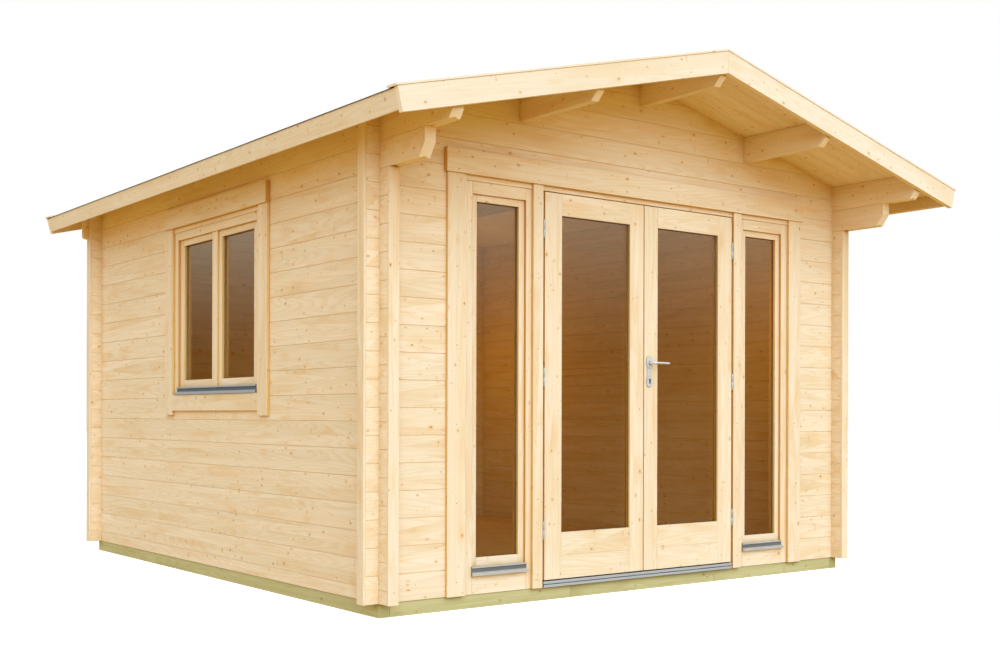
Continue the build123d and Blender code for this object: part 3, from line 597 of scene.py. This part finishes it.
def add_stud(bm, place, out, radius, rise, sides=10):
    """Adds a low domed head, such as a nail's, that stands on a surface."""
    out = Vector(out).normalized()
    side = out.orthogonal().normalized()
    other = out.cross(side)
    place = Vector(place)
    rings = []
    for share, height in STUD_LEVEL_SHARES:
        ring = []
        for turn in turns(sides):
            offset = side * math.cos(turn) + other * math.sin(turn)
            ring.append(place + offset * radius * share + out * rise * height)
        rings.append(ring)
    add_tube(bm, rings)


# Materials of the whole chalet

log_x = spruce("spruce_logs_along_x", along_axis("xzy"), crevice=0.42, reach=LOG_CREVICE)
log_y = spruce("spruce_logs_along_y", along_axis("yzx"), crevice=0.42, reach=LOG_CREVICE)
beam_y = spruce("spruce_beams", along_axis("yzx"), crevice=0.7)
strip_front = spruce("spruce_strips_front", along_axis("zxy"), knot_amount=0.7)
strip_side = spruce("spruce_strips_side", along_axis("zyx"), knot_amount=0.7)
board_x = spruce_board("spruce_boards_level", along_axis("xzy"), "y")
board_z = spruce_board("spruce_boards_upright", along_axis("zxy"), "y", knot_amount=0.7)
TRIM = (TRIM_PALE, TRIM_TAN, TRIM_WARM, SPRUCE_END)
wood_barge = wood("spruce_barge", along_slope("z"), TRIM)
fascia_y = wood("spruce_fascia", along_axis("yzx"), TRIM, crevice=0.7)
wood_deck = spruce("spruce_roof_boards", along_slope("y"))
TREATED = (TREATED_PALE, TREATED_TAN, TREATED_WARM, TREATED_END)
# Treated wood takes a darker olive painted shade in its corners, such as under the bottom log
TREATED_LOOK = {"knot_amount": 0.5, "roughness": 0.75, "crevice": 1.0, "crevice_tint": TREATED_CREVICE_SHADE_TINT}
treated_x = wood("treated_along_x", along_axis("xzy"), TREATED, **TREATED_LOOK)
treated_y = wood("treated_along_y", along_axis("yzx"), TREATED, **TREATED_LOOK)
FLOORING = (FLOOR_PALE, FLOOR_TAN, FLOOR_WARM, FLOOR_END)
floor_wood = wood("floor_boards", along_axis("yxz"), FLOORING, roughness=0.5)
felt = felt_material()
aluminium_x = metal("threshold_aluminium", (212, 213, 215), 0.42, "xyz", reach=ALUMINIUM_CREVICE)
# Where the painted shade starts in each drip rail's groove
sidelight_groove = ("y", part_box("sidelight_drip_rails")[0][1] + GROOVE_DEPTH)
drip_x = metal("drip_rail_front", (222, 218, 212), 0.42, "xyz", groove=sidelight_groove)
window_groove = ("x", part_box("window_drip_rail")[0][0] + GROOVE_DEPTH)
# The side rail's aluminium is darker and bluer than the front rail's, as painted shade
drip_y = metal("drip_rail_side", (196, 201, 210), 0.42, "yxz", groove=window_groove)
steel = metal("brushed_steel", (236, 237, 240), 0.28, "xyz", metallic=0.5)
plate_steel = metal("handle_plate_steel", (226, 228, 232), 0.36, "zxy", metallic=0.3)
hinge_steel = metal("hinge_steel", (196, 195, 192), 0.40, "zxy", metallic=0.3)
nail_steel = metal("nail_steel", (136, 106, 72), 0.5, "xyz", metallic=0.2)
glass = glass_material()
gasket = rubber_with_painted_shade()
# Near-black for the plugs that paint the shade inside the keyholes
keyhole_painted_shade = metal("keyhole_painted_shade", (26, 24, 22), 0.6, "zxy", metallic=0.0)

# Grain of frames whose rails lie between the stiles
sash_boxes = solids("sidelight_sashes")
right_sash = [box for box in sash_boxes if box[0][0] > 0]
right_sash_x = (min(low[0] for low, _ in right_sash), max(high[0] for _, high in right_sash))
SIDELIGHT_SASH_WIDTH = 0.035
JOINT_SLACK = 0.0005
FROM_MIDDLE = -1.0
WINDOW_SASH_STILE = 0.058
WINDOW_SASH_MEETING = 0.062
window_low, window_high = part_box("window_sashes")
window_middle = (window_low[1] + window_high[1]) / 2
window_half = (window_high[1] - window_low[1]) / 2
casing_boxes = solids("window_casing")
casing_inner = min(abs(high[1] - window_middle) for _, high in casing_boxes)
head_bottom = max(low[2] for low, _ in casing_boxes)
sidelight_frame_wood = spruce_board(
    "spruce_sidelight_frame",
    framed("zxy", "xzy", "X", 0.0, right_sash_x[0] - JOINT_SLACK, right_sash_x[1] + JOINT_SLACK),
    "y",
)
sash_rail_x = (right_sash_x[0] + SIDELIGHT_SASH_WIDTH, right_sash_x[1] - SIDELIGHT_SASH_WIDTH)
sidelight_sash_wood = spruce_board(
    "spruce_sidelight_sash", framed("zxy", "xzy", "X", 0.0, *sash_rail_x), "y", knot_amount=0.5)
window_frame_wood = spruce_board(
    "spruce_window_frame",
    framed("zyx", "yzx", "Y", window_middle, FROM_MIDDLE, window_half + JOINT_SLACK),
    "x",
)
window_sash_wood = spruce_board(
    "spruce_window_sash",
    framed("zyx", "yzx", "Y", window_middle, WINDOW_SASH_MEETING, window_half - WINDOW_SASH_STILE),
    "x",
    knot_amount=0.5,
)
window_casing_wood = spruce_board(
    "spruce_window_casing",
    framed("zyx", "yzx", "Y", window_middle, FROM_MIDDLE, casing_inner, above=head_bottom),
    "x",
)

# How far the edges of each kind of piece are rounded
LOG_EDGE = 0.0004
TRIM_EDGE = 0.0016
BOARD_EDGE = 0.0018
HEAD_BOARD_EDGE = 0.0020
JOINERY_EDGE = 0.0014
FRAME_EDGE = 0.0012
BEAM_EDGE = 0.0022
RAIL_EDGE = 0.0008
HINGE_EDGE = 0.0005
NO_EDGE = 0.0
DRESSING = (
    (log_y, LOG_EDGE, ("left_wall", "right_wall")),
    (log_x, LOG_EDGE, ("back_wall", "front_gable", "front_wall_left", "front_wall_right")),
    (strip_front, BOARD_EDGE, ("side_wall_end_strips",)),
    (strip_side, BOARD_EDGE, ("end_wall_end_strips",)),
    (wood_barge, TRIM_EDGE, ("barge_boards", "barge_caps")),
    (fascia_y, TRIM_EDGE, ("eave_fascias",)),
    (beam_y, TRIM_EDGE, ("ridge_purlin", "middle_purlins")),
    (board_z, BOARD_EDGE, ("front_casing_boards",)),
    (board_x, HEAD_BOARD_EDGE, ("front_head_board",)),
    (board_z, FRAME_EDGE, ("door_posts", "door_stops")),
    (board_x, FRAME_EDGE, ("frame_head", "left_door_rails", "right_door_rails")),
    (board_z, JOINERY_EDGE, ("left_door_stiles", "right_door_stiles")),
    (sidelight_frame_wood, JOINERY_EDGE, ("sidelight_frames",)),
    (sidelight_sash_wood, JOINERY_EDGE, ("sidelight_sashes",)),
    (window_frame_wood, JOINERY_EDGE, ("window_frame",)),
    (window_sash_wood, JOINERY_EDGE, ("window_sashes",)),
    (window_casing_wood, BOARD_EDGE, ("window_casing",)),
    (treated_y, BEAM_EDGE, ("foundation_side_beams",)),
    (treated_x, BEAM_EDGE, ("foundation_end_beams", "floor_joists")),
    (aluminium_x, RAIL_EDGE, ("threshold",)),
    (drip_x, RAIL_EDGE, ("sidelight_drip_rails",)),
    (drip_y, RAIL_EDGE, ("window_drip_rail",)),
    (hinge_steel, HINGE_EDGE, ("frame_hinges", "left_door_hinges", "right_door_hinges")),
    (glass, NO_EDGE, ("left_door_glass", "right_door_glass", "sidelight_glass", "window_glass")),
)
for material, edge, names in DRESSING:
    for node in names:
        dress(node, material, edge)

# Boards of the roof and floor

ROOF_BOARD_WIDTH = 0.096
FLOOR_BOARD_WIDTH = 0.112
BOARD_GAP = 0.0006
ROOF_BOARD_EDGE = 0.0022
FLOOR_BOARD_EDGE = 0.0016
for side in ("left", "right"):
    name = f"roof_boards_{side}"
    sliced_boards(f"{name}_laid", name, 1, ROOF_BOARD_WIDTH, BOARD_GAP, wood_deck, ROOF_BOARD_EDGE)
sliced_boards(
    "floor_boards_laid", "floor", 0, FLOOR_BOARD_WIDTH, BOARD_GAP, floor_wood, FLOOR_BOARD_EDGE)

# Roofing felt in lapped sheets

FELT_SHEET_WIDTH = 1.0
FELT_LAP = 0.08
FELT_LAP_FADE = 0.02
FELT_LEAST_WIDTH = 0.05
FELT_SHEET_THICKNESS = 0.002
FELT_EAVE_SETBACK = 0.0008
FELT_STEPS_ALONG = 90
FELT_STEPS_UP = 14
FELT_WAVE = 0.0007
FELT_WAVE_SCALE = (2.1, 1.7, 9.0)
FELT_FLAT_END = 0.2
CLOUT_RADIUS = 0.005
CLOUT_RISE = 0.0012
CLOUT_SPACING = 0.15
CLOUT_FROM_END = 0.15
CLOUT_FROM_LAP = 0.03
RIDGE_STRIP_HALF = 0.16
RIDGE_STRIP_SETBACK = 0.08
RIDGE_STRIP_STEPS = 8
RIDGE_FOLD_RADIUS = 0.006
RIDGE_WAVE = 0.0006
RIDGE_WAVE_SCALE = (9.0, 3.0)
RIDGE_WAVE_LOT = 4.0
RIDGE_CLOUT_FROM_END = 0.1
RIDGE_CLOUT_FROM_EDGE = 0.025


def add_sheet(bm, rows):
    """Adds a sheet of four-sided faces through rows of points."""
    made = [[bm.verts.new(point) for point in row] for row in rows]
    for below, above in zip(made, made[1:]):
        for i in range(len(below) - 1):
            bm.faces.new((below[i], below[i + 1], above[i + 1], above[i]))


def finish_felt(name, bm):
    """Makes an object of a felt surface, with the felt's thickness below it."""
    piece = finish_mesh(name, bm, felt, smooth=True)
    for polygon in piece.data.polygons:
        if polygon.normal.z < 0:
            polygon.flip()
    thick = piece.modifiers.new("thickness", "SOLIDIFY")
    thick.thickness = FELT_SHEET_THICKNESS
    thick.offset = -1.0
    return piece


def felt_sheets(side):
    """Sheets laid from the eave up, each lapping over the one below."""
    node = f"roofing_felt_{side}"
    low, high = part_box(node)
    sign = 1 if side == "right" else -1
    section = outline(node, 1)
    ridge = max(section, key=lambda p: p[1])
    eave = min(section, key=lambda p: p[1])
    down = Vector((sign * COS_PITCH, 0.0, -SIN_PITCH))
    up = Vector((sign * SIN_PITCH, 0.0, COS_PITCH))
    depth = high[1] - low[1]
    top = Vector((ridge[0], 0.0, ridge[1]))
    bm = bmesh.new()
    studs = bmesh.new()
    start = abs(eave[0] - ridge[0]) / COS_PITCH - FELT_EAVE_SETBACK
    course = 0
    while start > FELT_LEAST_WIDTH:
        finish = max(0.0, start - FELT_SHEET_WIDTH)
        rows = []
        for i in range(FELT_STEPS_UP + 1):
            along = start + (finish - start) * i / FELT_STEPS_UP
            lapped = course > 0 and along > start - FELT_LAP - FELT_LAP_FADE
            lift = 0.0 if lapped else -FELT_SHEET_THICKNESS
            row = []
            for j in range(FELT_STEPS_ALONG + 1):
                y = low[1] + depth * j / FELT_STEPS_ALONG
                spot = (along, y, course)
                wave = FELT_WAVE * noise.noise(Vector(a * b for a, b in zip(spot, FELT_WAVE_SCALE)))
                inner = FELT_FLAT_END < (y - low[1]) < (depth - FELT_FLAT_END)
                place = top + down * along + up * (lift + (wave if inner else 0.0))
                row.append((place.x, y, place.z))
            rows.append(row)
        add_sheet(bm, rows)
        if course > 0:
            nailed = depth - 2 * CLOUT_FROM_END
            count = int(nailed / CLOUT_SPACING)
            place = top + down * (start - CLOUT_FROM_LAP)
            for k in range(count + 1):
                y = low[1] + CLOUT_FROM_END + nailed * k / count
                add_stud(studs, (place.x, y, place.z), up, CLOUT_RADIUS, CLOUT_RISE)
        start = finish + FELT_LAP if finish > 0 else 0.0
        course += 1
    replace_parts(finish_felt(f"roofing_felt_sheets_{side}", bm), node)
    finish_mesh(f"felt_nails_{side}", studs, steel, smooth=True)


def felt_ridge_strip():
    """A strip of felt folded over the ridge, nailed along both edges, between the barge caps."""
    low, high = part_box("roofing_felt_right")
    surface = max(p[1] for p in outline("roofing_felt_right", 1)) + FELT_SHEET_THICKNESS
    start = low[1] + RIDGE_STRIP_SETBACK
    length = high[1] - low[1] - 2 * RIDGE_STRIP_SETBACK
    slope = math.tan(PITCH)
    shares = [i / RIDGE_STRIP_STEPS - 1.0 for i in range(2 * RIDGE_STRIP_STEPS + 1)]
    bm = bmesh.new()
    studs = bmesh.new()
    rows = []
    for j in range(FELT_STEPS_ALONG + 1):
        y = start + length * j / FELT_STEPS_ALONG
        row = []
        for share in shares:
            x = share * RIDGE_STRIP_HALF
            fold = math.sqrt(x * x + RIDGE_FOLD_RADIUS ** 2) - RIDGE_FOLD_RADIUS
            spot = Vector((x * RIDGE_WAVE_SCALE[0], y * RIDGE_WAVE_SCALE[1], RIDGE_WAVE_LOT))
            row.append((x, y, surface - fold * slope + RIDGE_WAVE * noise.noise(spot)))
        rows.append(row)
    add_sheet(bm, rows)
    nailed = length - 2 * RIDGE_CLOUT_FROM_END
    count = int(nailed / CLOUT_SPACING)
    for sign in (-1, 1):
        x = sign * (RIDGE_STRIP_HALF - RIDGE_CLOUT_FROM_EDGE)
        for k in range(count + 1):
            place = (x, start + RIDGE_CLOUT_FROM_END + nailed * k / count, surface - abs(x) * slope)
            add_stud(studs, place, (sign * SIN_PITCH, 0.0, COS_PITCH), CLOUT_RADIUS, CLOUT_RISE)
    finish_felt("roofing_felt_ridge_strip", bm)
    finish_mesh("felt_nails_ridge", studs, steel, smooth=True)


for side in ("left", "right"):
    felt_sheets(side)
felt_ridge_strip()

# Gaskets round the panes, whose dark brown also paints the shade line at each pane's edge

GLASS_BITE = 0.009
GASKET_WIDTH = 0.0022
GASKET_DEPTH = 0.0015


def gasket_rings(name, node, body, across):
    """A dark strip along the edge of each pane, on both faces: a gasket that also paints the shade line
    there. Across is the axis through the glass.
    """
    along = 1 - across
    bm = bmesh.new()
    for low, high in solids(node):
        inner_low = low[along] + GLASS_BITE
        inner_high = high[along] - GLASS_BITE
        bottom = low[2] + GLASS_BITE
        top = high[2] - GLASS_BITE
        for face, out in ((low[across], -1), (high[across], 1)):
            depth = sorted((face, face + out * GASKET_DEPTH))
            runs = [
                ((inner_low, inner_low + GASKET_WIDTH), (bottom, top)),
                ((inner_high - GASKET_WIDTH, inner_high), (bottom, top)),
                ((inner_low + GASKET_WIDTH, inner_high - GASKET_WIDTH), (bottom, bottom + GASKET_WIDTH)),
                ((inner_low + GASKET_WIDTH, inner_high - GASKET_WIDTH), (top - GASKET_WIDTH, top)),
            ]
            for along_range, z_range in runs:
                corners = [(a, z) for a in along_range for z in z_range]
                section = [corners[0], corners[1], corners[3], corners[2]]
                add_prism(bm, section, across, *depth)
    finish_mesh(name, bm, gasket, body=body)


gasket_rings("left_door_gaskets", "left_door_glass", "left_door", 1)
gasket_rings("right_door_gaskets", "right_door_glass", "right_door", 1)
gasket_rings("sidelight_gaskets", "sidelight_glass", "chalet", 1)
gasket_rings("window_gaskets", "window_glass", "chalet", 0)

# Log ends at the back corners, below the eaves

BACK_END_REACH = 0.036
BACK_END_BOTTOM = 2.146
BACK_END_CORNER = 0.018
BACK_END_STEPS = 6
ROOF_CLEARANCE = 0.003
BEHIND_STRIP = 0.004
BACK_END_DEPTH = 0.036


def back_log_ends():
    """Below each eave a log of the back wall shows its rounded end past the corner strip."""
    _, strips_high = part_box("end_wall_end_strips")
    low_edge = min(outline("roof_boards_right", 1), key=lambda p: p[1])
    start = strips_high[0] - BEHIND_STRIP
    tip = strips_high[0] + BACK_END_REACH

    def roof_underside(x):
        return low_edge[1] + (low_edge[0] - x) * math.tan(PITCH) - ROOF_CLEARANCE

    section = [(start, BACK_END_BOTTOM), (start, roof_underside(start)), (tip, roof_underside(tip))]
    for i in range(BACK_END_STEPS + 1):
        turn = math.radians(90) * i / BACK_END_STEPS
        section.append((
            tip - BACK_END_CORNER * (1 - math.cos(turn)),
            BACK_END_BOTTOM + BACK_END_CORNER * (1 - math.sin(turn)),
        ))
    for side, sign in (("left", -1), ("right", 1)):
        bm = bmesh.new()
        profile = [(sign * x, z) for x, z in section]
        add_prism(bm, profile, 1, strips_high[1] - BACK_END_DEPTH, strips_high[1])
        finish_mesh(f"back_wall_{side}_log_end", bm, log_x, bevel=TRIM_EDGE)


back_log_ends()

# Handle of the right leaf

SPINDLE_FROM_END = 0.0075
GRIP_HALF_HEIGHT = 0.0066
GRIP_HALF_THICKNESS = 0.0054
NECK_RADIUS = 0.0078
NECK_HOLE = 0.0086
NECK_BEND = 0.016
GRIP_SETBACK = 0.0066
GRIP_RETURN = 0.015
GRIP_RETURN_TURN = math.radians(65)
GRIP_TIP_SHARE = 0.72
GRIP_STEP_SHARES = (0.25, 0.5, 0.75, 1.0)
BEND_STEPS = 8
RETURN_STEPS = 6
QUARTER_TURN = math.radians(90)
NECK_TAPER = 0.8
NECK_SEAT = 0.006
SPINDLE_SEAT = 0.007
LEVER_EDGE = 0.0012
PLATE_EDGE = 0.0011
LEVER_SIDES = 18
SPINDLE_HALF = 0.004
SHIELD_HALF_WIDTH = 0.0206
SHIELD_HEIGHT = 0.066
ESCUTCHEON_HEIGHT = 0.056
STEM_HALF_WIDTH = 0.0165
STEM_SETBACK = 0.0026
STEM_OVERLAP = 0.012
KEYHOLE_ABOVE_BOTTOM = 0.037
KEYHOLE_RADIUS = 0.0072
KEYHOLE_SLOT_HALF = 0.0052
KEYHOLE_SLOT_LENGTH = 0.0200
KEYHOLE_DEPTH = 0.0014
KEYHOLE_FILL = 0.97
SHIELD_STEPS = 72
TINY = 1e-6


def lever_path(x, face, outward, tip, end):
    """Places and headings of the lever's middle line: out, round a bend, along, and back at the end."""
    level = tip - outward * GRIP_SETBACK
    points = [(x, face, 0.0), (x, level - outward * NECK_BEND, 0.0)]
    for i in range(1, BEND_STEPS + 1):
        turn = QUARTER_TURN * i / BEND_STEPS
        points.append((
            x + NECK_BEND * (1 - math.cos(turn)),
            level - outward * NECK_BEND * (1 - math.sin(turn)),
            turn,
        ))
    last = end - GRIP_RETURN - GRIP_HALF_THICKNESS
    for share in GRIP_STEP_SHARES:
        points.append((x + NECK_BEND + (last - x - NECK_BEND) * share, level, QUARTER_TURN))
    for i in range(1, RETURN_STEPS + 1):
        turn = GRIP_RETURN_TURN * i / RETURN_STEPS
        points.append((
            last + GRIP_RETURN * math.sin(turn),
            level - outward * GRIP_RETURN * (1 - math.cos(turn)),
            QUARTER_TURN + turn,
        ))
    return points


def make_lever():
    """A round neck and a slim rounded grip on each side of the leaf, on one square spindle."""
    low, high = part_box("lever_handle")
    x = low[0] + SPINDLE_FROM_END
    z = (low[2] + high[2]) / 2
    plates_low, plates_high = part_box("right_door_handle_plates")
    bm = bmesh.new()
    for outward, tip, plate in ((-1, low[1], plates_low[1]), (1, high[1], plates_high[1])):
        face = plate - outward * NECK_SEAT
        path = lever_path(x, face, outward, tip, high[0])
        rings = []
        for i, (px, py, turn) in enumerate(path):
            share = min(1.0, max(0.0, (turn / QUARTER_TURN) ** NECK_TAPER))
            half_across = NECK_RADIUS + (GRIP_HALF_THICKNESS - NECK_RADIUS) * share
            half_up = NECK_RADIUS + (GRIP_HALF_HEIGHT - NECK_RADIUS) * share
            if i == len(path) - 1:
                half_across *= GRIP_TIP_SHARE
                half_up *= GRIP_TIP_SHARE
            ring = []
            for around in turns(LEVER_SIDES):
                side = half_across * math.cos(around)
                ring.append((
                    px + side * math.cos(turn),
                    py - outward * side * math.sin(turn),
                    z + half_up * math.sin(around),
                ))
            rings.append(ring)
        add_tube(bm, rings)
    corners = ((-1, -1), (1, -1), (1, 1), (-1, 1))
    square = [(x + a * SPINDLE_HALF, z + b * SPINDLE_HALF) for a, b in corners]
    add_prism(bm, square, 1, plates_low[1] + SPINDLE_SEAT, plates_high[1] - SPINDLE_SEAT)
    piece = finish_mesh(
        "lever_handle_rounded", bm, steel, body="lever", bevel=LEVER_EDGE, smooth=True)
    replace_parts(piece, "lever_handle")


def stadium_reach(turn, half_width, up, down):
    """Distance from a point to the edge of an upright shape with round ends, in one direction."""
    across = math.cos(turn)
    rise = math.sin(turn)
    reach = half_width / max(abs(across), TINY)
    if -(down - half_width) <= reach * rise <= up - half_width:
        return reach
    offset = up - half_width if rise > 0 else -(down - half_width)
    along = offset * rise
    return along + math.sqrt(max(0.0, along * along - offset * offset + half_width * half_width))


def keyhole_reach(turn):
    """Distance from the middle of a keyhole's round part to its edge, in one direction."""
    if math.sin(turn) >= 0:
        return KEYHOLE_RADIUS
    to_side = KEYHOLE_SLOT_HALF / max(abs(math.cos(turn)), TINY)
    to_end = KEYHOLE_SLOT_LENGTH / -math.sin(turn)
    return max(KEYHOLE_RADIUS, min(to_side, to_end))


def edge_points(x, z, reach, share=1.0):
    """Points round an upright shape that is given by its reach in each direction."""
    angles = turns(SHIELD_STEPS, 0.5)
    return [(x + reach(a) * math.cos(a) * share, z + reach(a) * math.sin(a) * share) for a in angles]


def add_shield(bm, x, z, back, front, outer_reach, inner_reach):
    """Adds a plate with a hole, both given by their reach in each direction from one point."""
    rings = []
    for y, reach in ((back, inner_reach), (back, outer_reach), (front, outer_reach), (front, inner_reach)):
        rings.append([bm.verts.new((a, y, b)) for a, b in edge_points(x, z, reach)])
    join_rings(bm, rings + rings[:1])


def make_handle_plates():
    """On each side of the leaf a shield round the lever, one with a keyhole, and a slimmer plate between,
    with a near-black plug in each keyhole as painted shade.
    """
    low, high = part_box("right_door_handle_plates")
    lever_low, lever_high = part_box("lever_handle")
    stiles_low, stiles_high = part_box("right_door_stiles")
    x = (low[0] + high[0]) / 2
    z = (lever_low[2] + lever_high[2]) / 2
    keyhole_z = low[2] + KEYHOLE_ABOVE_BOTTOM
    shield_bottom = high[2] - SHIELD_HEIGHT
    escutcheon_top = low[2] + ESCUTCHEON_HEIGHT
    above_keyhole = escutcheon_top - keyhole_z
    bm = bmesh.new()
    dark = bmesh.new()
    for outward, front, back in ((-1, low[1], stiles_low[1]), (1, high[1], stiles_high[1])):
        add_shield(
            bm, x, z, back, front,
            lambda turn: stadium_reach(turn, SHIELD_HALF_WIDTH, high[2] - z, z - shield_bottom),
            lambda turn: NECK_HOLE,
        )
        add_shield(
            bm, x, keyhole_z, back, front,
            lambda turn: stadium_reach(turn, SHIELD_HALF_WIDTH, above_keyhole, KEYHOLE_ABOVE_BOTTOM),
            keyhole_reach,
        )
        stem_front = front - outward * STEM_SETBACK
        stem = [
            (x - STEM_HALF_WIDTH, escutcheon_top - STEM_OVERLAP),
            (x + STEM_HALF_WIDTH, escutcheon_top - STEM_OVERLAP),
            (x + STEM_HALF_WIDTH, shield_bottom + STEM_OVERLAP),
            (x - STEM_HALF_WIDTH, shield_bottom + STEM_OVERLAP),
        ]
        add_prism(bm, stem, 1, *sorted((back, stem_front)))
        # A near-black plug fills each keyhole as painted shade
        hole = edge_points(x, keyhole_z, keyhole_reach, KEYHOLE_FILL)
        add_prism(dark, hole, 1, *sorted((back, front - outward * KEYHOLE_DEPTH)))
    piece = finish_mesh(
        "right_door_handle_plates_shaped", bm, plate_steel, "right_door", bevel=PLATE_EDGE)
    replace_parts(piece, "right_door_handle_plates")
    finish_mesh("right_door_keyhole_backs", dark, keyhole_painted_shade, body="right_door")


make_handle_plates()
make_lever()

# Nails

NAIL_RADIUS = 0.0027
NAIL_RISE = 0.0004
NAIL_FROM_END = 0.07
NAIL_FROM_EDGE = 0.018
NAIL_SIDES = 8
CASING_NAIL_SPACING = 0.42
HEAD_NAIL_SPACING = 0.5
FASCIA_NAIL_SPACING = 0.55


def nailed_boards(bm, node, along, across, out, spacing, rows):
    """Nail heads along each board of a node. Out is the axis and sign of the face that they are in."""
    axis, sign = out
    for low, high in solids(node):
        face = high[axis] if sign > 0 else low[axis]
        length = high[along] - low[along] - 2 * NAIL_FROM_END
        if length <= 0:
            continue
        count = max(1, round(length / spacing))
        middle = (low[across] + high[across]) / 2
        reach = (high[across] - low[across]) / 2 - NAIL_FROM_EDGE
        offsets = (-reach, reach) if rows == 2 else (0.0,)
        for k in range(count + 1):
            for offset in offsets:
                place = [0.0, 0.0, 0.0]
                place[axis] = face
                place[along] = low[along] + NAIL_FROM_END + length * k / count
                place[across] = middle + offset
                direction = [0.0, 0.0, 0.0]
                direction[axis] = sign
                add_stud(bm, place, direction, NAIL_RADIUS, NAIL_RISE, NAIL_SIDES)


def make_nails():
    """Nails in the casing boards, the head board and the fascias."""
    bm = bmesh.new()
    nailed_boards(bm, "front_casing_boards", 2, 0, (1, -1), CASING_NAIL_SPACING, 1)
    nailed_boards(bm, "front_head_board", 0, 2, (1, -1), HEAD_NAIL_SPACING, 2)
    nailed_boards(bm, "eave_fascias", 1, 2, (0, -1), FASCIA_NAIL_SPACING, 1)
    finish_mesh("board_nails", bm, nail_steel, smooth=True)


make_nails()

# Floor, light and camera

FLOOR_SIZE = 60.0
FLOOR_COLOUR = (0.86, 0.86, 0.86, 1.0)
WHITE = (1.0, 1.0, 1.0, 1.0)
FLOOR_GLOW = 0.62
WARM_BOUNCE = (0.69, 0.43, 0.085, 1.0)
SKY = (0.72, 0.74, 0.78, 1.0)
BOUNCE_TOP = 0.36
BOUNCE_LOW = -0.10
MIRROR_GROUND = (0.05, 0.035, 0.012, 1.0)
MIRROR_SKY = (1.10, 1.28, 1.10, 1.0)
MIRROR_LOW = 0.03
MIRROR_TOP = 0.24
KEY_STRENGTH = 2.70
KEY_COLOUR = (0.65, 0.82, 1.0)
KEY_SOFTNESS = math.radians(60)
KEY_TOWARDS = (-0.24, -0.86, 0.44)
SIDE_STRENGTH = 0.50
SIDE_TOWARDS = (-0.93, 0.10, 0.30)
FILL_STRENGTH = 0.9
FILL_COLOUR = (0.72, 0.85, 1.0)
FILL_TOWARDS = (0.62, 0.70, 0.35)
ROOM_GLOW_COLOUR = (1.0, 0.53, 0.07)
ROOM_GLOW_RADIUS = 0.4
ROOM_GLOWS = (
    ("room_glow_front", 5.2, (0.85, -1.30, 1.50)),
    ("room_glow_back", 6.2, (0.85, 1.55, 1.45)),
)


def make_stage():
    """A plain pale floor that takes hardly any shade."""
    bm = bmesh.new()
    bmesh.ops.create_grid(bm, x_segments=4, y_segments=4, size=FLOOR_SIZE)
    mesh = bpy.data.meshes.new("studio_floor")
    bm.to_mesh(mesh)
    bm.free()
    ground = bpy.data.objects.new("studio_floor", mesh)
    bpy.context.scene.collection.objects.link(ground)
    s = Shader("studio_floor")
    mesh.materials.append(s.principled(
        base_color=FLOOR_COLOUR,
        roughness=0.9,
        specular_ior_level=0.0,
        emission_color=WHITE,
        emission_strength=FLOOR_GLOW,
    ))
    ground.visible_diffuse = False
    ground.visible_glossy = False
    ground.visible_shadow = False


def make_world():
    """White for the camera and from above, and warm from below, as wood and ground throw it back."""
    world = bpy.data.worlds.new("studio")
    bpy.context.scene.world = world
    world.use_nodes = True
    s = Nodes(world.node_tree, "ShaderNodeOutputWorld")
    height = s.split(s.add("ShaderNodeTexCoord", {}).outputs["Generated"])[2]
    light = s.mix(s.ramp(height, BOUNCE_LOW, BOUNCE_TOP), WARM_BOUNCE, SKY)
    mirrored = s.mix(s.ramp(height, MIRROR_LOW, MIRROR_TOP), MIRROR_GROUND, MIRROR_SKY)
    path = s.add("ShaderNodeLightPath", {}).outputs
    cast = s.mix(path["Is Glossy Ray"], light, mirrored)
    seen = s.mix(path["Is Camera Ray"], cast, WHITE)
    background = s.add("ShaderNodeBackground", {"Color": seen}).outputs[0]
    s.tree.links.new(background, s.output.inputs[0])


def make_light():
    """A soft key from the front, fills from the left and behind, and a warm glow in the room."""
    suns = (
        ("soft_key", KEY_STRENGTH, KEY_COLOUR, KEY_TOWARDS),
        ("soft_side", SIDE_STRENGTH, KEY_COLOUR, SIDE_TOWARDS),
        ("soft_fill", FILL_STRENGTH, FILL_COLOUR, FILL_TOWARDS),
    )
    for name, strength, colour, towards in suns:
        lamp = bpy.data.lights.new(name, "SUN")
        lamp.energy = strength
        lamp.angle = KEY_SOFTNESS
        lamp.color = colour
        sun = bpy.data.objects.new(name, lamp)
        bpy.context.scene.collection.objects.link(sun)
        sun.rotation_euler = Vector(towards).to_track_quat("Z", "Y").to_euler()
    for name, power, place in ROOM_GLOWS:
        glow_lamp = bpy.data.lights.new(name, "POINT")
        glow_lamp.energy = power
        glow_lamp.color = ROOM_GLOW_COLOUR
        glow_lamp.shadow_soft_size = ROOM_GLOW_RADIUS
        glow = bpy.data.objects.new(name, glow_lamp)
        bpy.context.scene.collection.objects.link(glow)
        glow.location = place
        glow.visible_camera = False
        glow.visible_glossy = False
        glow.visible_transmission = False


def make_camera():
    """The camera at the photograph's place, level, with its horizon shifted."""
    data = bpy.data.cameras.new("camera")
    data.sensor_width = SENSOR_WIDTH
    data.lens = SENSOR_WIDTH * FOCAL_PIXELS / IMAGE_WIDTH
    data.shift_y = HORIZON_PIXELS_BELOW_MIDDLE / IMAGE_WIDTH
    camera = bpy.data.objects.new("camera", data)
    bpy.context.scene.collection.objects.link(camera)
    camera.location = CAMERA_PLACE
    camera.rotation_euler = (math.radians(90), CAMERA_ROLL, CAMERA_TURN)
    bpy.context.scene.camera = camera


make_stage()
make_world()
make_light()
make_camera()
bpy.context.scene.view_settings.view_transform = "Standard"
